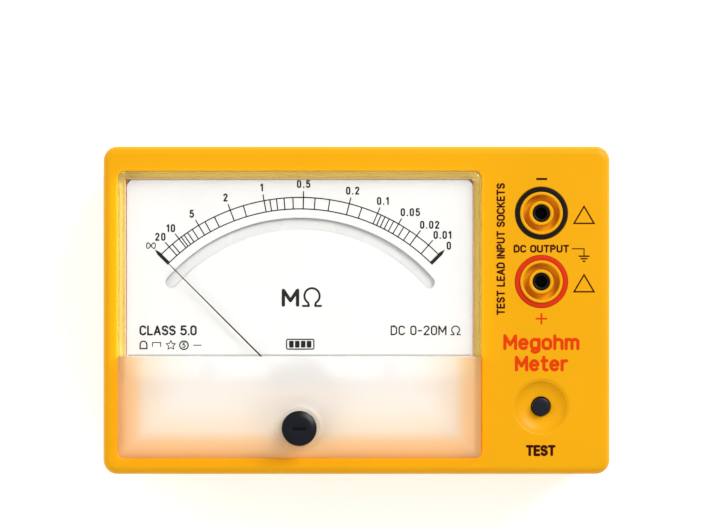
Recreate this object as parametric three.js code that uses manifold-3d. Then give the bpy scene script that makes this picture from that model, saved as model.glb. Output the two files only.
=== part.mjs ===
// Analogue insulation resistance tester: a yellow two-shell hand case with a moving-coil meter under a
// clear and frosted cover, two shrouded 4 mm test jacks, a test button in a finger dish, a DC inlet and
// six AA cells behind a sliding door. It lies on its back on four rubber feet.
// Millimetres. +Z points up out of the dial, +Y to the top edge of the face, +X to the right.
// The origin is under the middle of the case, at the height of the table.
import * as THREE from "three";
import { mergeVertices } from "three/addons/utils/BufferGeometryUtils.js";
import Module from "manifold-3d";

const wasm = await Module();
wasm.setup();

// ---- Driving dimensions ----
const CASE_WIDTH = 150;
const CASE_HEIGHT = 97.1;
const CORNER = 4.2;
const WALL = 2.4;
const INNER_CORNER = 2;
const EDGE = 2.6;
const BACK_EDGE = 2;
const GAP = 0.3;
// Half the size of a block that is cut away past everything.
const PAST = 90;

// Heights above the table.
const BACK_Z = 2;
const FLOOR_Z = BACK_Z + WALL;
const SPLIT_Z = 20;
const TONGUE = { inset: 1.45, high: 1.2 };
const REBATE = { inset: 1.15, high: 1.5 };
const FACE_Z = 39;
const PANEL_Z = FACE_Z - WALL;

// Meter window, its cover and the meter's own centre line.
const WINDOW = { x: -16.8, y: -1.3, w: 107.6, h: 85.0, r: 2.2 };
const METER_X = WINDOW.x;
const PIVOT_Y = -25.05;
const SCREW_Y = -34.5;
const APRON_Y = -13.6;
const CLEAR_TOP = 42.1;
const APRON_TOP = 42.7;
const COVER_WALL = 1.8;
const COVER_ROOF = 2;
const COVER_EDGE = 1;
const COVER_LOW = 33.6;
const LEDGE = { low: 31.3, high: 33.3, side: 2.3, apron: 5.4 };
const CONE = { foot: 7.9, top: 6.2, lift: 0.7, hole: 2.9 };
const BASE_LOW = 25;
const BASE_FLOOR = 26.8;
// Screwed ears on the right-hand side of the meter base.
const EAR = { x: 42, ys: [22, -22], half: 3.7 };
const TAB = { long: 6.8, half: 6 };

// Dial, pointer and movement heights.
const DIAL_Z = 34.4;
const DIAL_THICK = 0.8;
const DIAL = { half: 51.4, low: -20, high: 38.8, corner: 2.4, notch: 10.8 };
const DIAL_SCREW = { x: 27, y: -16.9, post: 2.6 };
const POINTER_Z = 36.6;
const SCALE_HALF_ANGLE = THREE.MathUtils.degToRad(45);
const SCALE_RADIUS = 55.4;
const STOP_RADIUS = 16;
const STOP_HIGH = 3.4;
const STOP_MARGIN = THREE.MathUtils.degToRad(8.5);
const MIRROR = { inner: 48.9, outer: 52.4, half: THREE.MathUtils.degToRad(49) };
const YOKE = { inner: 10.8, outer: 14, low: 17.2, high: 28.4 };
const CORE_RADIUS = 7.8;
const COIL = { half: 10.2, deep: 2.6, wire: 1.8 };
const BRIDGE = { half: 13.6, wide: 2.4, foot: 2.2, gap: 4.4, thick: 1 };
const PIVOT_RADIUS = 0.45;
const NEEDLE = { width: 0.5, high: 0.4, tail: 9.4, crank: 7.2 };
const HUB_LIFT = 2.2;
const SPRING_LIFT = 3.4;
const ARM_LIFT = 5.7;
const ECCENTRIC = 1;
const KNOB = { neck: 2.5, radius: 5.15 };

// Right-hand panel.
const PANEL_X = 54.6;
const JACK_YS = { negative: 28.7, positive: 8.5 };
const JACK = { bore: 2.65, post: 3.6, groove: 5.4, rim: 6.3, ring: 7.7, low: 28, floor: 37, lift: 0.7 };
const JACK_BOSS = 7.9;
const CONTACT = { inner: 2.05, outer: 2.4, high: 38.2, flange: 3.6 };
const BUTTON_Y = -28.5;
const BUTTON = { radius: 2.62, top: 38.5, stem: 1.6, collar: 4, collarLow: 32, collarHigh: 33.6 };
const STEM_LOW = 21.6;
const SWITCH_HIGH = 23.4;
const DISH = { radius: 7.9, floor: 3.6, depth: 2, boss: 9, low: 34.2 };
const INLET = { y: -10, z: 24.4, hole: 4 };

// Case screws and feet, the same at each corner.
const CASE_SCREW = { x: 69.3, y: 42.6, head: 2.8, headHigh: 1.9, shank: 1.4, length: 12, seat: 12 };
const CASE_BOSS = { upper: 3.6, lower: 4.4, recess: 3.1, pilot: 1.7 };
const FOOT = { x: 66.5, y: 32.5, r: 5, chamfer: 0.8, seat: 0.8 };

// Battery bay: six AA cells side by side, across the back under the dial.
const CELL = { radius: 7.15, length: 50.5, pitch: 15, count: 6, y: 18.75, z: 11.9 };
const BAY = { x: -11, w: 91.2, low: -8.2, high: 45.6, wall: 1.5, roof: 19.3 };
const STRIP_HALF = 45;
const STRIP_THICK = 0.8;
const STRIP_YS = { low: BAY.low + 0.6, high: BAY.high - 0.6 };
const DOOR_THICK = 2.2;
const DOOR_LAP = 1.2;
const RAIL = { wide: 1, low: 1.4 };
const RUNNING = 0.25;
const GRIP = { count: 5, first: 38, pitch: 2.4, half: 12, deep: 0.6 };

// Circuit board.
const BOARD = { x0: 39.5, x1: 71.8, half: 37.5, low: 16.4, high: 18 };
const BOARD_POSTS = [[43.5, -33], [66, 0]];
const LEAD_RADIUS = 0.55;

// ---- Materials ----
function finish(color, roughness, metalness = 0, extra = {}) {
  return new THREE.MeshStandardMaterial({ color, roughness, metalness, ...extra });
}
const YELLOW = finish(0xf9b107, 0.42);
const CLEAR = finish(0xf4f7f8, 0.08, 0, { transparent: true, opacity: 0.3 });
const BLACK = finish(0x1a1c20, 0.45);
const RED = finish(0xd8290b, 0.45);
const RUBBER = finish(0x1d1d1e, 0.85);
const WHITE = finish(0xfafafa, 0.6);
const NATURAL = finish(0xece9e2, 0.55);
const MIRROR_FINISH = finish(0xe6e8ea, 0.08, 1);
const STEEL = finish(0xb9bcc0, 0.35, 1);
const NICKEL = finish(0xc9c5ba, 0.25, 1);
const BRASS = finish(0xc79a45, 0.3, 1);
const COPPER = finish(0xb0622d, 0.4, 0.9);
const MAGNET = finish(0x4a4b4e, 0.5, 0.8);
const POINTER_BLACK = finish(0x18181a, 0.5);
const LAMINATE = finish(0x2f6b3a, 0.5);
const CELL_WRAP = finish(0x2b4f8f, 0.35);

// ---- Shape helpers ----
function solid(geometry) {
  const bare = geometry.index ? geometry.toNonIndexed() : geometry.clone();
  bare.deleteAttribute("normal");
  bare.deleteAttribute("uv");
  const merged = mergeVertices(bare, 1e-4);
  const vertProperties = merged.attributes.position.array;
  const triVerts = new Uint32Array(merged.index.array);
  return new wasm.Manifold(new wasm.Mesh({ numProp: 3, vertProperties, triVerts }));
}

function geometryOf(shape) {
  const mesh = shape.getMesh();
  const geometry = new THREE.BufferGeometry();
  geometry.setAttribute("position", new THREE.BufferAttribute(mesh.vertProperties, 3));
  geometry.setIndex(new THREE.BufferAttribute(mesh.triVerts, 1));
  const flat = geometry.toNonIndexed();
  flat.computeVertexNormals();
  return flat;
}

function piece(name, shape, material, group) {
  const mesh = new THREE.Mesh(geometryOf(shape), material);
  mesh.name = name;
  group.add(mesh);
  return mesh;
}

function roundedRectangle(w, h, r, x = 0, y = 0) {
  const shape = new THREE.Shape();
  const [left, right, low, high] = [x - w / 2, x + w / 2, y - h / 2, y + h / 2];
  shape.moveTo(left + r, low);
  shape.lineTo(right - r, low);
  shape.absarc(right - r, low + r, r, -Math.PI / 2, 0, false);
  shape.lineTo(right, high - r);
  shape.absarc(right - r, high - r, r, 0, Math.PI / 2, false);
  shape.lineTo(left + r, high);
  shape.absarc(left + r, high - r, r, Math.PI / 2, Math.PI, false);
  shape.lineTo(left, low + r);
  shape.absarc(left + r, low + r, r, Math.PI, Math.PI * 1.5, false);
  return shape;
}

function plate(shape, z0, z1, curveSegments = 4) {
  const geometry = new THREE.ExtrudeGeometry(shape, { depth: z1 - z0, bevelEnabled: false, curveSegments });
  return solid(geometry.translate(0, 0, z0));
}

function roundedBlock(w, h, r, z0, z1, x = 0, y = 0) {
  return plate(roundedRectangle(w, h, r, x, y), z0, z1);
}

// A block whose long edges at both ends are rounded by edge.
function softBlock(w, h, r, z0, z1, edge, x = 0, y = 0) {
  const geometry = new THREE.ExtrudeGeometry(roundedRectangle(w, h, r, x, y), {
    depth: z1 - z0 - 2 * edge,
    bevelSize: edge,
    bevelOffset: -edge,
    bevelThickness: edge,
    bevelSegments: 3,
    curveSegments: 4,
  });
  return solid(geometry.translate(0, 0, z0 + edge));
}

function box(x0, x1, y0, y1, z0, z1) {
  const geometry = new THREE.BoxGeometry(x1 - x0, y1 - y0, z1 - z0);
  return solid(geometry.translate((x0 + x1) / 2, (y0 + y1) / 2, (z0 + z1) / 2));
}

function rod(r, z0, z1, x = 0, y = 0, sides = 20, top = r) {
  const geometry = new THREE.CylinderGeometry(top, r, z1 - z0, sides).rotateX(Math.PI / 2);
  return solid(geometry.translate(x, y, (z0 + z1) / 2));
}

function tube(inner, outer, z0, z1, x = 0, y = 0, sides = 20) {
  return rod(outer, z0, z1, x, y, sides).subtract(rod(inner, z0 - 1, z1 + 1, x, y, sides));
}

// A body of revolution about Z, from [radius, height] pairs that start and end on the axis.
function turned(profile, sides = 20) {
  const points = profile.map(([radius, height]) => new THREE.Vector2(radius, height));
  return solid(new THREE.LatheGeometry(points, sides).rotateX(Math.PI / 2));
}

// A flat ring sector about the pivot, swept half an angle each side of +Y, with round ends.
function arcBand(inner, outer, half, z0, z1, path = new THREE.Shape()) {
  const [from, to] = [Math.PI / 2 + half, Math.PI / 2 - half];
  const middle = (inner + outer) / 2;
  const end = (outer - inner) / 2;
  path.absarc(0, 0, outer, from, to, true);
  path.absarc(middle * Math.cos(to), middle * Math.sin(to), end, to, to - Math.PI, true);
  path.absarc(0, 0, inner, to, from, false);
  path.absarc(middle * Math.cos(from), middle * Math.sin(from), end, from + Math.PI, from, true);
  return plate(path, z0, z1, 12);
}

// A screw with a slotted round head, its head at z0 and its shank pointing up.
function screw(headRadius, headHeight, shankRadius, length) {
  const slot = box(-headRadius, headRadius, -0.35, 0.35, -1, headHeight * 0.45);
  return turned([
    [0, 0],
    [headRadius * 0.75, 0],
    [headRadius, headHeight * 0.5],
    [headRadius, headHeight],
    [shankRadius, headHeight],
    [shankRadius, headHeight + length],
    [0, headHeight + length],
  ], 12).subtract(slot);
}

function wire(points, radius, sides = 8, steps = 20) {
  const section = new THREE.Shape();
  section.absarc(0, 0, radius, 0, Math.PI * 2, false);
  const curve = new THREE.CatmullRomCurve3(points.map((p) => new THREE.Vector3(...p)));
  const geometry = new THREE.ExtrudeGeometry(section, {
    steps,
    extrudePath: curve,
    curveSegments: sides / 2,
    bevelEnabled: false,
  });
  return solid(geometry);
}

const CORNERS = [
  [-1, -1],
  [1, -1],
  [1, 1],
  [-1, 1],
];

// ---- Case ----
// A block with the case's outline, drawn in by inset.
function caseBlock(inset, z0, z1) {
  const corner = Math.max(CORNER - inset, INNER_CORNER);
  return roundedBlock(CASE_WIDTH - 2 * inset, CASE_HEIGHT - 2 * inset, corner, z0, z1);
}

function frontCase() {
  let body = softBlock(CASE_WIDTH, CASE_HEIGHT, CORNER, SPLIT_Z - 10, FACE_Z, EDGE);
  body = body.subtract(box(-PAST, PAST, -PAST, PAST, 0, SPLIT_Z));
  body = body.subtract(caseBlock(WALL, SPLIT_Z - 1, PANEL_Z));
  body = body.subtract(caseBlock(REBATE.inset, SPLIT_Z - 1, SPLIT_Z + REBATE.high));
  body = body.add(meterWell()).subtract(
    roundedBlock(WINDOW.w, WINDOW.h, WINDOW.r, LEDGE.high, FACE_Z + 1, WINDOW.x, WINDOW.y),
  );

  // Corner bosses for the case screws, low enough to clear the meter base above them.
  for (const [sx, sy] of CORNERS) {
    const [x, y] = [sx * CASE_SCREW.x, sy * CASE_SCREW.y];
    body = body.add(rod(CASE_BOSS.upper, SPLIT_Z + GAP, BASE_LOW - GAP, x, y, 12));
    body = body.subtract(rod(CASE_BOSS.pilot, SPLIT_Z - 1, BASE_LOW - 0.8, x, y, 10));
  }
  // The meter hooks over a tab on the left wall, and two blocks under the panel take its screwed ears.
  const wallX = WALL / 2 - CASE_WIDTH / 2;
  body = body.add(box(wallX, wallX + TAB.long, -TAB.half, TAB.half, BASE_LOW - 2, BASE_LOW - GAP));
  for (const y of EAR.ys) {
    body = body.add(box(EAR.x - 3.4, EAR.x + 3.4, y - 4, y + 4, BASE_FLOOR + GAP, PANEL_Z + 0.4));
    body = body.subtract(rod(1.2, SPLIT_Z, LEDGE.low, EAR.x, y, 10));
  }
  // Posts that hold the circuit board.
  for (const [x, y] of BOARD_POSTS) {
    body = body.add(rod(2.6, BOARD.high + GAP, PANEL_Z + 0.4, x, y, 14));
    body = body.subtract(rod(1.2, BOARD.low - 1, BOARD.high + 6, x, y, 12));
  }
  // Jack wells: a raised rim, the groove for the plug's shroud and the insulating post in the middle.
  for (const y of Object.values(JACK_YS)) {
    body = body.add(rod(JACK_BOSS, JACK.low, FACE_Z - 0.6, PANEL_X, y, 24));
    body = body.subtract(tube(JACK.rim, JACK.ring + 0.15, FACE_Z - 0.5, FACE_Z + 1, PANEL_X, y, 28));
    body = body.add(rod(JACK.rim, FACE_Z - 1, FACE_Z + JACK.lift, PANEL_X, y, 28));
    body = body.subtract(tube(JACK.post, JACK.groove, JACK.floor, FACE_Z + 2, PANEL_X, y, 24));
    body = body.subtract(rod(JACK.bore, 0, FACE_Z + 2, PANEL_X, y, 16));
  }
  // Finger dish round the test button.
  const dish = turned([
    [0, FACE_Z - DISH.depth],
    [DISH.floor, FACE_Z - DISH.depth],
    [DISH.floor + 1.9, FACE_Z - 1.35],
    [DISH.radius - 0.8, FACE_Z - 0.25],
    [DISH.radius, FACE_Z],
    [DISH.radius, FACE_Z + 1],
    [0, FACE_Z + 1],
  ], 28).translate([PANEL_X, BUTTON_Y, 0]);
  body = body.add(rod(DISH.boss, DISH.low, PANEL_Z + 0.5, PANEL_X, BUTTON_Y, 24)).subtract(dish);
  body = body.subtract(rod(BUTTON.radius + GAP, 30, 45, PANEL_X, BUTTON_Y, 16));
  return body.subtract(inletHole());
}

// Wall and ledge that the meter cover sits in. The ledge is wider round the frosted apron.
function meterWell() {
  const [w, h, x, y] = [WINDOW.w, WINDOW.h, WINDOW.x, WINDOW.y];
  const well = roundedBlock(w + 2 * WALL, h + 2 * WALL, WINDOW.r + WALL, LEDGE.low, PANEL_Z + 0.5, x, y);
  const opening = (inset) => roundedBlock(w - 2 * inset, h - 2 * inset, 1.5, SPLIT_Z, FACE_Z, x, y);
  const upper = opening(LEDGE.side).subtract(box(-PAST, PAST, -PAST, APRON_Y, 0, PAST));
  return well.subtract(upper).subtract(opening(LEDGE.apron));
}

// Hole for the power inlet in the right-hand wall.
function inletHole() {
  const hole = new THREE.CylinderGeometry(INLET.hole, INLET.hole, 6, 20).rotateZ(Math.PI / 2);
  return solid(hole.translate(CASE_WIDTH / 2, INLET.y, INLET.z));
}

// The battery door's outline with its side rails, run out past the case's edge; grow is the clearance.
function doorPlan(grow) {
  const half = BAY.w / 2 + DOOR_LAP + grow;
  const low = BAY.low - BAY.wall - DOOR_LAP - grow;
  const main = box(BAY.x - half, BAY.x + half, low, PAST, -5, FLOOR_Z + grow);
  const [railLow, railHigh] = [BACK_Z + RAIL.low - grow, BACK_Z + DOOR_THICK + grow];
  const reach = half + RAIL.wide;
  return main.add(box(BAY.x - reach, BAY.x + reach, low, PAST, railLow, railHigh));
}

function backShell() {
  const body = softBlock(CASE_WIDTH, CASE_HEIGHT, CORNER, BACK_Z, SPLIT_Z + 10, BACK_EDGE);
  return body.subtract(box(-PAST, PAST, -PAST, PAST, SPLIT_Z, PAST));
}

function rearCase() {
  const tongue = caseBlock(TONGUE.inset, SPLIT_Z - 2, SPLIT_Z + TONGUE.high).subtract(inletHole());
  let body = backShell().add(tongue).subtract(caseBlock(WALL, FLOOR_Z, SPLIT_Z + 5));
  // Battery bay, open towards the door.
  const { x, w, low, high, wall, roof } = BAY;
  body = body.add(box(x - w / 2 - wall, x + w / 2 + wall, low - wall, high + 0.9, BACK_Z + 1, roof + wall));
  body = body.subtract(box(x - w / 2, x + w / 2, low, high, 0, roof));
  body = body.subtract(doorPlan(RUNNING));
  for (const leadY of Object.values(STRIP_YS)) {
    const hole = new THREE.CylinderGeometry(LEAD_RADIUS * 2, LEAD_RADIUS * 2, 4, 10).rotateZ(Math.PI / 2);
    body = body.subtract(solid(hole.translate(x + w / 2 + 1, leadY, CELL.z)));
  }
  for (const [sx, sy] of CORNERS) {
    const [bx, by] = [sx * CASE_SCREW.x, sy * CASE_SCREW.y];
    body = body.subtract(rod(CASE_BOSS.upper + 0.35, SPLIT_Z, SPLIT_Z + 3, bx, by, 12));
    body = body.add(rod(CASE_BOSS.lower, FLOOR_Z - 0.5, SPLIT_Z, bx, by, 14));
    body = body.subtract(rod(CASE_BOSS.recess, 0, CASE_SCREW.seat, bx, by, 14));
    body = body.subtract(rod(CASE_BOSS.pilot, 0, BASE_LOW, bx, by, 10));
    body = body.subtract(rod(FOOT.r + GAP, 0, BACK_Z + FOOT.seat, sx * FOOT.x, sy * FOOT.y, 16));
  }
  return body;
}

function batteryDoor() {
  const thick = box(-PAST, PAST, -PAST, PAST, 0, BACK_Z + DOOR_THICK);
  let door = backShell().intersect(doorPlan(0)).intersect(thick);
  for (let i = 0; i < GRIP.count; i += 1) {
    const y = GRIP.first - i * GRIP.pitch;
    door = door.subtract(box(BAY.x - GRIP.half, BAY.x + GRIP.half, y - 0.5, y + 0.5, 0, BACK_Z + GRIP.deep));
  }
  return door;
}

function foot() {
  return turned([
    [0, 0],
    [FOOT.r - FOOT.chamfer, 0],
    [FOOT.r, FOOT.chamfer],
    [FOOT.r, BACK_Z + 0.5],
    [0, BACK_Z + 0.5],
  ], 16);
}

function addCase(group) {
  piece("front_case", frontCase(), YELLOW, group);
  piece("rear_case", rearCase(), YELLOW, group);
  piece("battery_door", batteryDoor(), YELLOW, group);
  CORNERS.forEach(([sx, sy], i) => {
    piece(`foot_${i + 1}`, foot(), RUBBER, group).position.set(sx * FOOT.x, sy * FOOT.y, 0);
    const { x, y, head, headHigh, shank, length, seat } = CASE_SCREW;
    const fastener = piece(`case_screw_${i + 1}`, screw(head, headHigh, shank, length), STEEL, group);
    fastener.position.set(sx * x, sy * y, seat - headHigh - GAP);
  });
}

// ---- Meter cover, dial and base; x and y are measured from the pointer's pivot ----
function meterCover() {
  const [w, h] = [WINDOW.w - 2 * GAP, WINDOW.h - 2 * GAP];
  const y = WINDOW.y - PIVOT_Y;
  const apronEdge = APRON_Y - PIVOT_Y;
  const block = (top) => softBlock(w, h, INNER_CORNER, BASE_LOW, top, COVER_EDGE, 0, y);
  const apron = block(APRON_TOP).subtract(box(-PAST, PAST, apronEdge, PAST, 0, PAST));
  let body = block(CLEAR_TOP).add(apron).subtract(box(-PAST, PAST, -PAST, PAST, 0, COVER_LOW));
  const inside = [w - 2 * COVER_WALL, h - 2 * COVER_WALL];
  body = body.subtract(roundedBlock(...inside, 1.6, BASE_LOW, CLEAR_TOP - COVER_ROOF, 0, y));
  // Low cone under the zero corrector.
  const screwY = SCREW_Y - PIVOT_Y;
  body = body.add(rod(CONE.foot, APRON_TOP - 1, APRON_TOP + CONE.lift, 0, screwY, 24, CONE.top));
  return body.subtract(rod(CONE.hole, BASE_LOW, 50, 0, screwY, 16));
}

function dialPlate() {
  const middle = (DIAL.low + DIAL.high) / 2 - PIVOT_Y;
  const outline = roundedRectangle(2 * DIAL.half, DIAL.high - DIAL.low, DIAL.corner, 0, middle);
  let body = plate(outline, DIAL_Z, DIAL_Z + DIAL_THICK);
  body = body.subtract(rod(DIAL.notch, BASE_LOW, FACE_Z, 0, 0, 28));
  body = body.subtract(arcBand(MIRROR.inner, MIRROR.outer, MIRROR.half, BASE_LOW, FACE_Z));
  for (const side of [-1, 1]) {
    body = body.subtract(rod(1.5, BASE_LOW, FACE_Z, side * DIAL_SCREW.x, DIAL_SCREW.y - PIVOT_Y, 10));
    // Stop for the pointer, standing up just past the end of the scale.
    const angle = SCALE_HALF_ANGLE + STOP_MARGIN;
    const [x, y] = [side * STOP_RADIUS * Math.sin(angle), STOP_RADIUS * Math.cos(angle)];
    body = body.add(rod(0.4, DIAL_Z + 0.2, DIAL_Z + STOP_HIGH, x, y, 8));
  }
  return body;
}

// White tray that carries the movement and the dial; its rim comes up under the case's ledge.
function meterBase() {
  const [w, h] = [WINDOW.w - 2 * GAP, WINDOW.h - 2 * GAP];
  const y = WINDOW.y - PIVOT_Y;
  let body = roundedBlock(w, h, INNER_CORNER, BASE_LOW, LEDGE.low - GAP, 0, y);
  body = body.subtract(roundedBlock(w - 2 * COVER_WALL, h - 2 * COVER_WALL, 1.6, BASE_FLOOR, FACE_Z, 0, y));
  const earX = EAR.x - METER_X;
  for (const faceY of EAR.ys) {
    const earY = faceY - PIVOT_Y;
    body = body.add(box(w / 2 - 1, earX + 3, earY - EAR.half, earY + EAR.half, BASE_LOW, BASE_FLOOR));
    body = body.subtract(rod(1.5, SPLIT_Z, FACE_Z, earX, earY, 10));
  }
  body = body.subtract(rod(YOKE.outer + GAP, SPLIT_Z, FACE_Z, 0, 0, 28));
  for (const side of [-1, 1]) {
    const [postX, postY] = [side * DIAL_SCREW.x, DIAL_SCREW.y - PIVOT_Y];
    body = body.add(rod(DIAL_SCREW.post, BASE_LOW + 1, DIAL_Z - GAP, postX, postY, 12));
    body = body.subtract(rod(DIAL_SCREW.post / 2, SPLIT_Z, FACE_Z, postX, postY, 10));
  }
  return body;
}

function addMeterFrame(group) {
  piece("meter_cover", meterCover(), CLEAR, group);
  piece("dial_plate", dialPlate(), WHITE, group);
  const strip = arcBand(MIRROR.inner - 1, MIRROR.outer + 1, MIRROR.half, DIAL_Z - 1.1, DIAL_Z - GAP);
  piece("mirror_strip", strip, MIRROR_FINISH, group);
  piece("meter_base", meterBase(), NATURAL, group);
  for (const [name, side] of [["left", -1], ["right", 1]]) {
    const dialScrew = piece(`dial_screw_${name}`, screw(2.4, 1, 1, 5), STEEL, group);
    dialScrew.position.set(side * DIAL_SCREW.x, DIAL_SCREW.y - PIVOT_Y, DIAL_Z + DIAL_THICK + GAP + 1);
    dialScrew.rotation.x = Math.PI;
  }
  EAR.ys.forEach((earY, i) => {
    const baseScrew = piece(`base_screw_${i + 1}`, screw(2.2, 1.5, 0.9, 5.5), STEEL, group);
    baseScrew.position.set(EAR.x - METER_X, earY - PIVOT_Y, BASE_LOW - GAP - 1.5);
  });
}

// ---- Moving-coil movement ----
function bridge(outward) {
  // A strap across the yoke with a foot at each end; outward is +1 above the yoke and -1 below it.
  const face = outward > 0 ? YOKE.high : YOKE.low;
  const level = (near, far) => [face + outward * near, face + outward * far].sort((a, b) => a - b);
  const { half, wide, foot: footLong, gap, thick } = BRIDGE;
  let strap = box(-half, half, -wide, wide, ...level(gap, gap + thick));
  for (const side of [-1, 1]) {
    const ends = [side * half, side * (half - footLong)].sort((a, b) => a - b);
    strap = strap.add(box(...ends, -wide, wide, ...level(GAP, gap + 0.6)));
  }
  return strap.subtract(rod(1.6, 0, 50, 0, 0, 16));
}

function jewelScrew(outward) {
  const face = outward > 0 ? YOKE.high : YOKE.low;
  const z = (distance) => face + outward * distance;
  const [low, high] = [z(4), z(6.9)].sort((a, b) => a - b);
  const slotZ = [z(6.4), z(8)].sort((a, b) => a - b);
  const cupZ = [z(3), z(4.6)].sort((a, b) => a - b);
  const body = rod(1.3, low, high, 0, 0, 16).subtract(box(-2, 2, -0.25, 0.25, ...slotZ));
  return body.subtract(rod(0.55, ...cupZ, 0, 0, 10));
}

function movingCoil() {
  // Rectangular winding round the core, with a steel pivot cemented at each end.
  const [low, high] = [YOKE.low - 1.3, YOKE.high + 1.8];
  const inside = COIL.half - COIL.wire;
  const reach = BRIDGE.gap - 0.2;
  let coil = box(-COIL.half, COIL.half, -COIL.deep, COIL.deep, low, high);
  coil = coil.subtract(box(-inside, inside, -5, 5, low + 1.1, high - 1.1));
  coil = coil.add(rod(PIVOT_RADIUS, high - 0.5, YOKE.high + reach, 0, 0, 10));
  return coil.add(rod(PIVOT_RADIUS, YOKE.low - reach, low + 0.5, 0, 0, 10));
}

function pointer() {
  // Side view in the radial plane, given the needle's width, on a hub that fits the upper pivot.
  const [hub, arm] = [YOKE.high + HUB_LIFT, YOKE.high + HUB_LIFT + 0.4];
  const { width, high, tail, crank } = NEEDLE;
  const needle = new THREE.Shape();
  needle.moveTo(-tail, arm);
  needle.lineTo(crank, arm);
  needle.lineTo(crank + 2, POINTER_Z);
  needle.lineTo(SCALE_RADIUS, POINTER_Z);
  needle.lineTo(SCALE_RADIUS, POINTER_Z + high);
  needle.lineTo(crank + 1.7, POINTER_Z + high);
  needle.lineTo(crank - 0.3, arm + high);
  needle.lineTo(-tail, arm + high);
  const side = new THREE.ExtrudeGeometry(needle, { depth: width, bevelEnabled: false });
  side.translate(0, 0, -width / 2).rotateX(Math.PI / 2).rotateZ(Math.PI / 2);
  const ring = rod(1.8, hub, hub + 1, 0, 0, 20);
  return solid(side).add(ring).subtract(rod(0.75, 20, 40, 0, 0, 12));
}

function balanceWeight() {
  const nut = new THREE.CylinderGeometry(1.1, 1.1, 1.6, 12).translate(0, -7.6, 0);
  const hole = box(-0.55, 0.55, -10, -5, -0.5, 0.5);
  return solid(nut).subtract(hole).translate([0, 0, YOKE.high + 2.8]);
}

function hairspring() {
  // Flat spiral of bronze strip, from its collet out to the stud on the zero arm.
  const [turns, start, end, thick, steps] = [2.5, 1.7, 4.6, 0.16, 36];
  const spiral = new THREE.Shape();
  const at = (t, offset) => {
    const radius = start + (end - start) * t + offset;
    const angle = 2 * Math.PI * turns * t + Math.PI / 4;
    return [radius * Math.cos(angle), radius * Math.sin(angle)];
  };
  spiral.moveTo(...at(0, thick));
  for (let i = 1; i <= steps; i += 1) {
    spiral.lineTo(...at(i / steps, thick));
  }
  for (let i = steps; i >= 0; i -= 1) {
    spiral.lineTo(...at(i / steps, 0));
  }
  return plate(spiral, YOKE.high + SPRING_LIFT, YOKE.high + SPRING_LIFT + 0.7);
}

function addMovement(group) {
  piece("yoke_ring", tube(YOKE.inner, YOKE.outer, YOKE.low, YOKE.high, 0, 0, 28), STEEL, group);
  piece("magnet_core", rod(CORE_RADIUS, YOKE.low + 0.3, YOKE.high - 0.3, 0, 0, 24), MAGNET, group);
  for (const [name, side] of [["front", -1], ["back", 1]]) {
    const key = tube(CORE_RADIUS + GAP, YOKE.inner - GAP, YOKE.low + 1.8, YOKE.high - 0.4, 0, 0, 28);
    const slice = box(-2.2, 2.2, ...(side > 0 ? [0, PAST] : [-PAST, 0]), 0, PAST);
    piece(`core_spacer_${name}`, key.intersect(slice), BRASS, group);
  }
  piece("upper_bridge", bridge(1), BRASS, group);
  piece("lower_bridge", bridge(-1), BRASS, group);
  piece("upper_jewel_screw", jewelScrew(1), BRASS, group);
  piece("lower_jewel_screw", jewelScrew(-1), BRASS, group);
  const moving = new THREE.Group();
  moving.rotation.z = SCALE_HALF_ANGLE;
  group.add(moving);
  piece("moving_coil", movingCoil(), COPPER, moving);
  piece("pointer", pointer(), POINTER_BLACK, moving);
  piece("balance_weight", balanceWeight(), BRASS, moving);
  piece("hairspring", hairspring(), BRASS, moving);
}

// ---- Zero corrector: a screw in the cover whose eccentric pin swings an arm about the pivot ----
function zeroScrew() {
  const top = APRON_TOP + CONE.lift + GAP;
  const foot = CLEAR_TOP - COVER_ROOF - 0.8;
  let body = turned([
    [0, foot],
    [KNOB.neck, foot],
    [KNOB.neck, top],
    [KNOB.radius, top],
    [KNOB.radius, top + 1.3],
    [4.7, top + 1.8],
    [3.2, top + 2.1],
    [0, top + 2.2],
  ], 24);
  body = body.subtract(box(-2.1, 2.1, -0.45, 0.45, top + 1.2, top + 4));
  return body.add(rod(0.6, DIAL_Z - 0.2, foot + 0.8, 0, ECCENTRIC, 12));
}

function zeroArm() {
  const [low, high] = [YOKE.high + ARM_LIFT, YOKE.high + ARM_LIFT + 0.6];
  const pinY = SCREW_Y - PIVOT_Y + ECCENTRIC;
  let arm = rod(3.4, low, high, 0, 0, 20).add(box(-1.7, 1.7, pinY - 1.8, -2, low, high));
  arm = arm.subtract(box(-0.75, 0.75, pinY - 3, pinY + 1.6, 20, 50));
  arm = arm.subtract(rod(1.65, 20, 50, 0, 0, 14));
  return arm.add(rod(0.4, YOKE.high + SPRING_LIFT, high - 0.1, 0, -5.5, 8));
}

function addZeroCorrector(group) {
  piece("zero_arm", zeroArm(), BRASS, group);
  piece("zero_screw", zeroScrew(), BLACK, group).position.y = SCREW_Y - PIVOT_Y;
}

// ---- Circuit board, jacks, button and inlet ----
function circuitBoard() {
  let board = box(BOARD.x0, BOARD.x1, -BOARD.half, BOARD.half, BOARD.low, BOARD.high);
  for (const [x, y] of BOARD_POSTS) {
    board = board.subtract(rod(1.5, BOARD.low - 1, BOARD.high + 1, x, y, 12));
  }
  return board;
}

function jackContact() {
  // Slit spring tube that takes a 4 mm plug, on a flange that stands on the board.
  let contact = tube(CONTACT.inner, CONTACT.outer, BOARD.high + 1, CONTACT.high, 0, 0, 16);
  contact = contact.add(rod(CONTACT.flange, BOARD.high + GAP, BOARD.high + 1.2, 0, 0, 16));
  return contact.subtract(box(-0.3, 0.3, -4, 4, BOARD.high + 2, CONTACT.high - 5));
}

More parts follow.
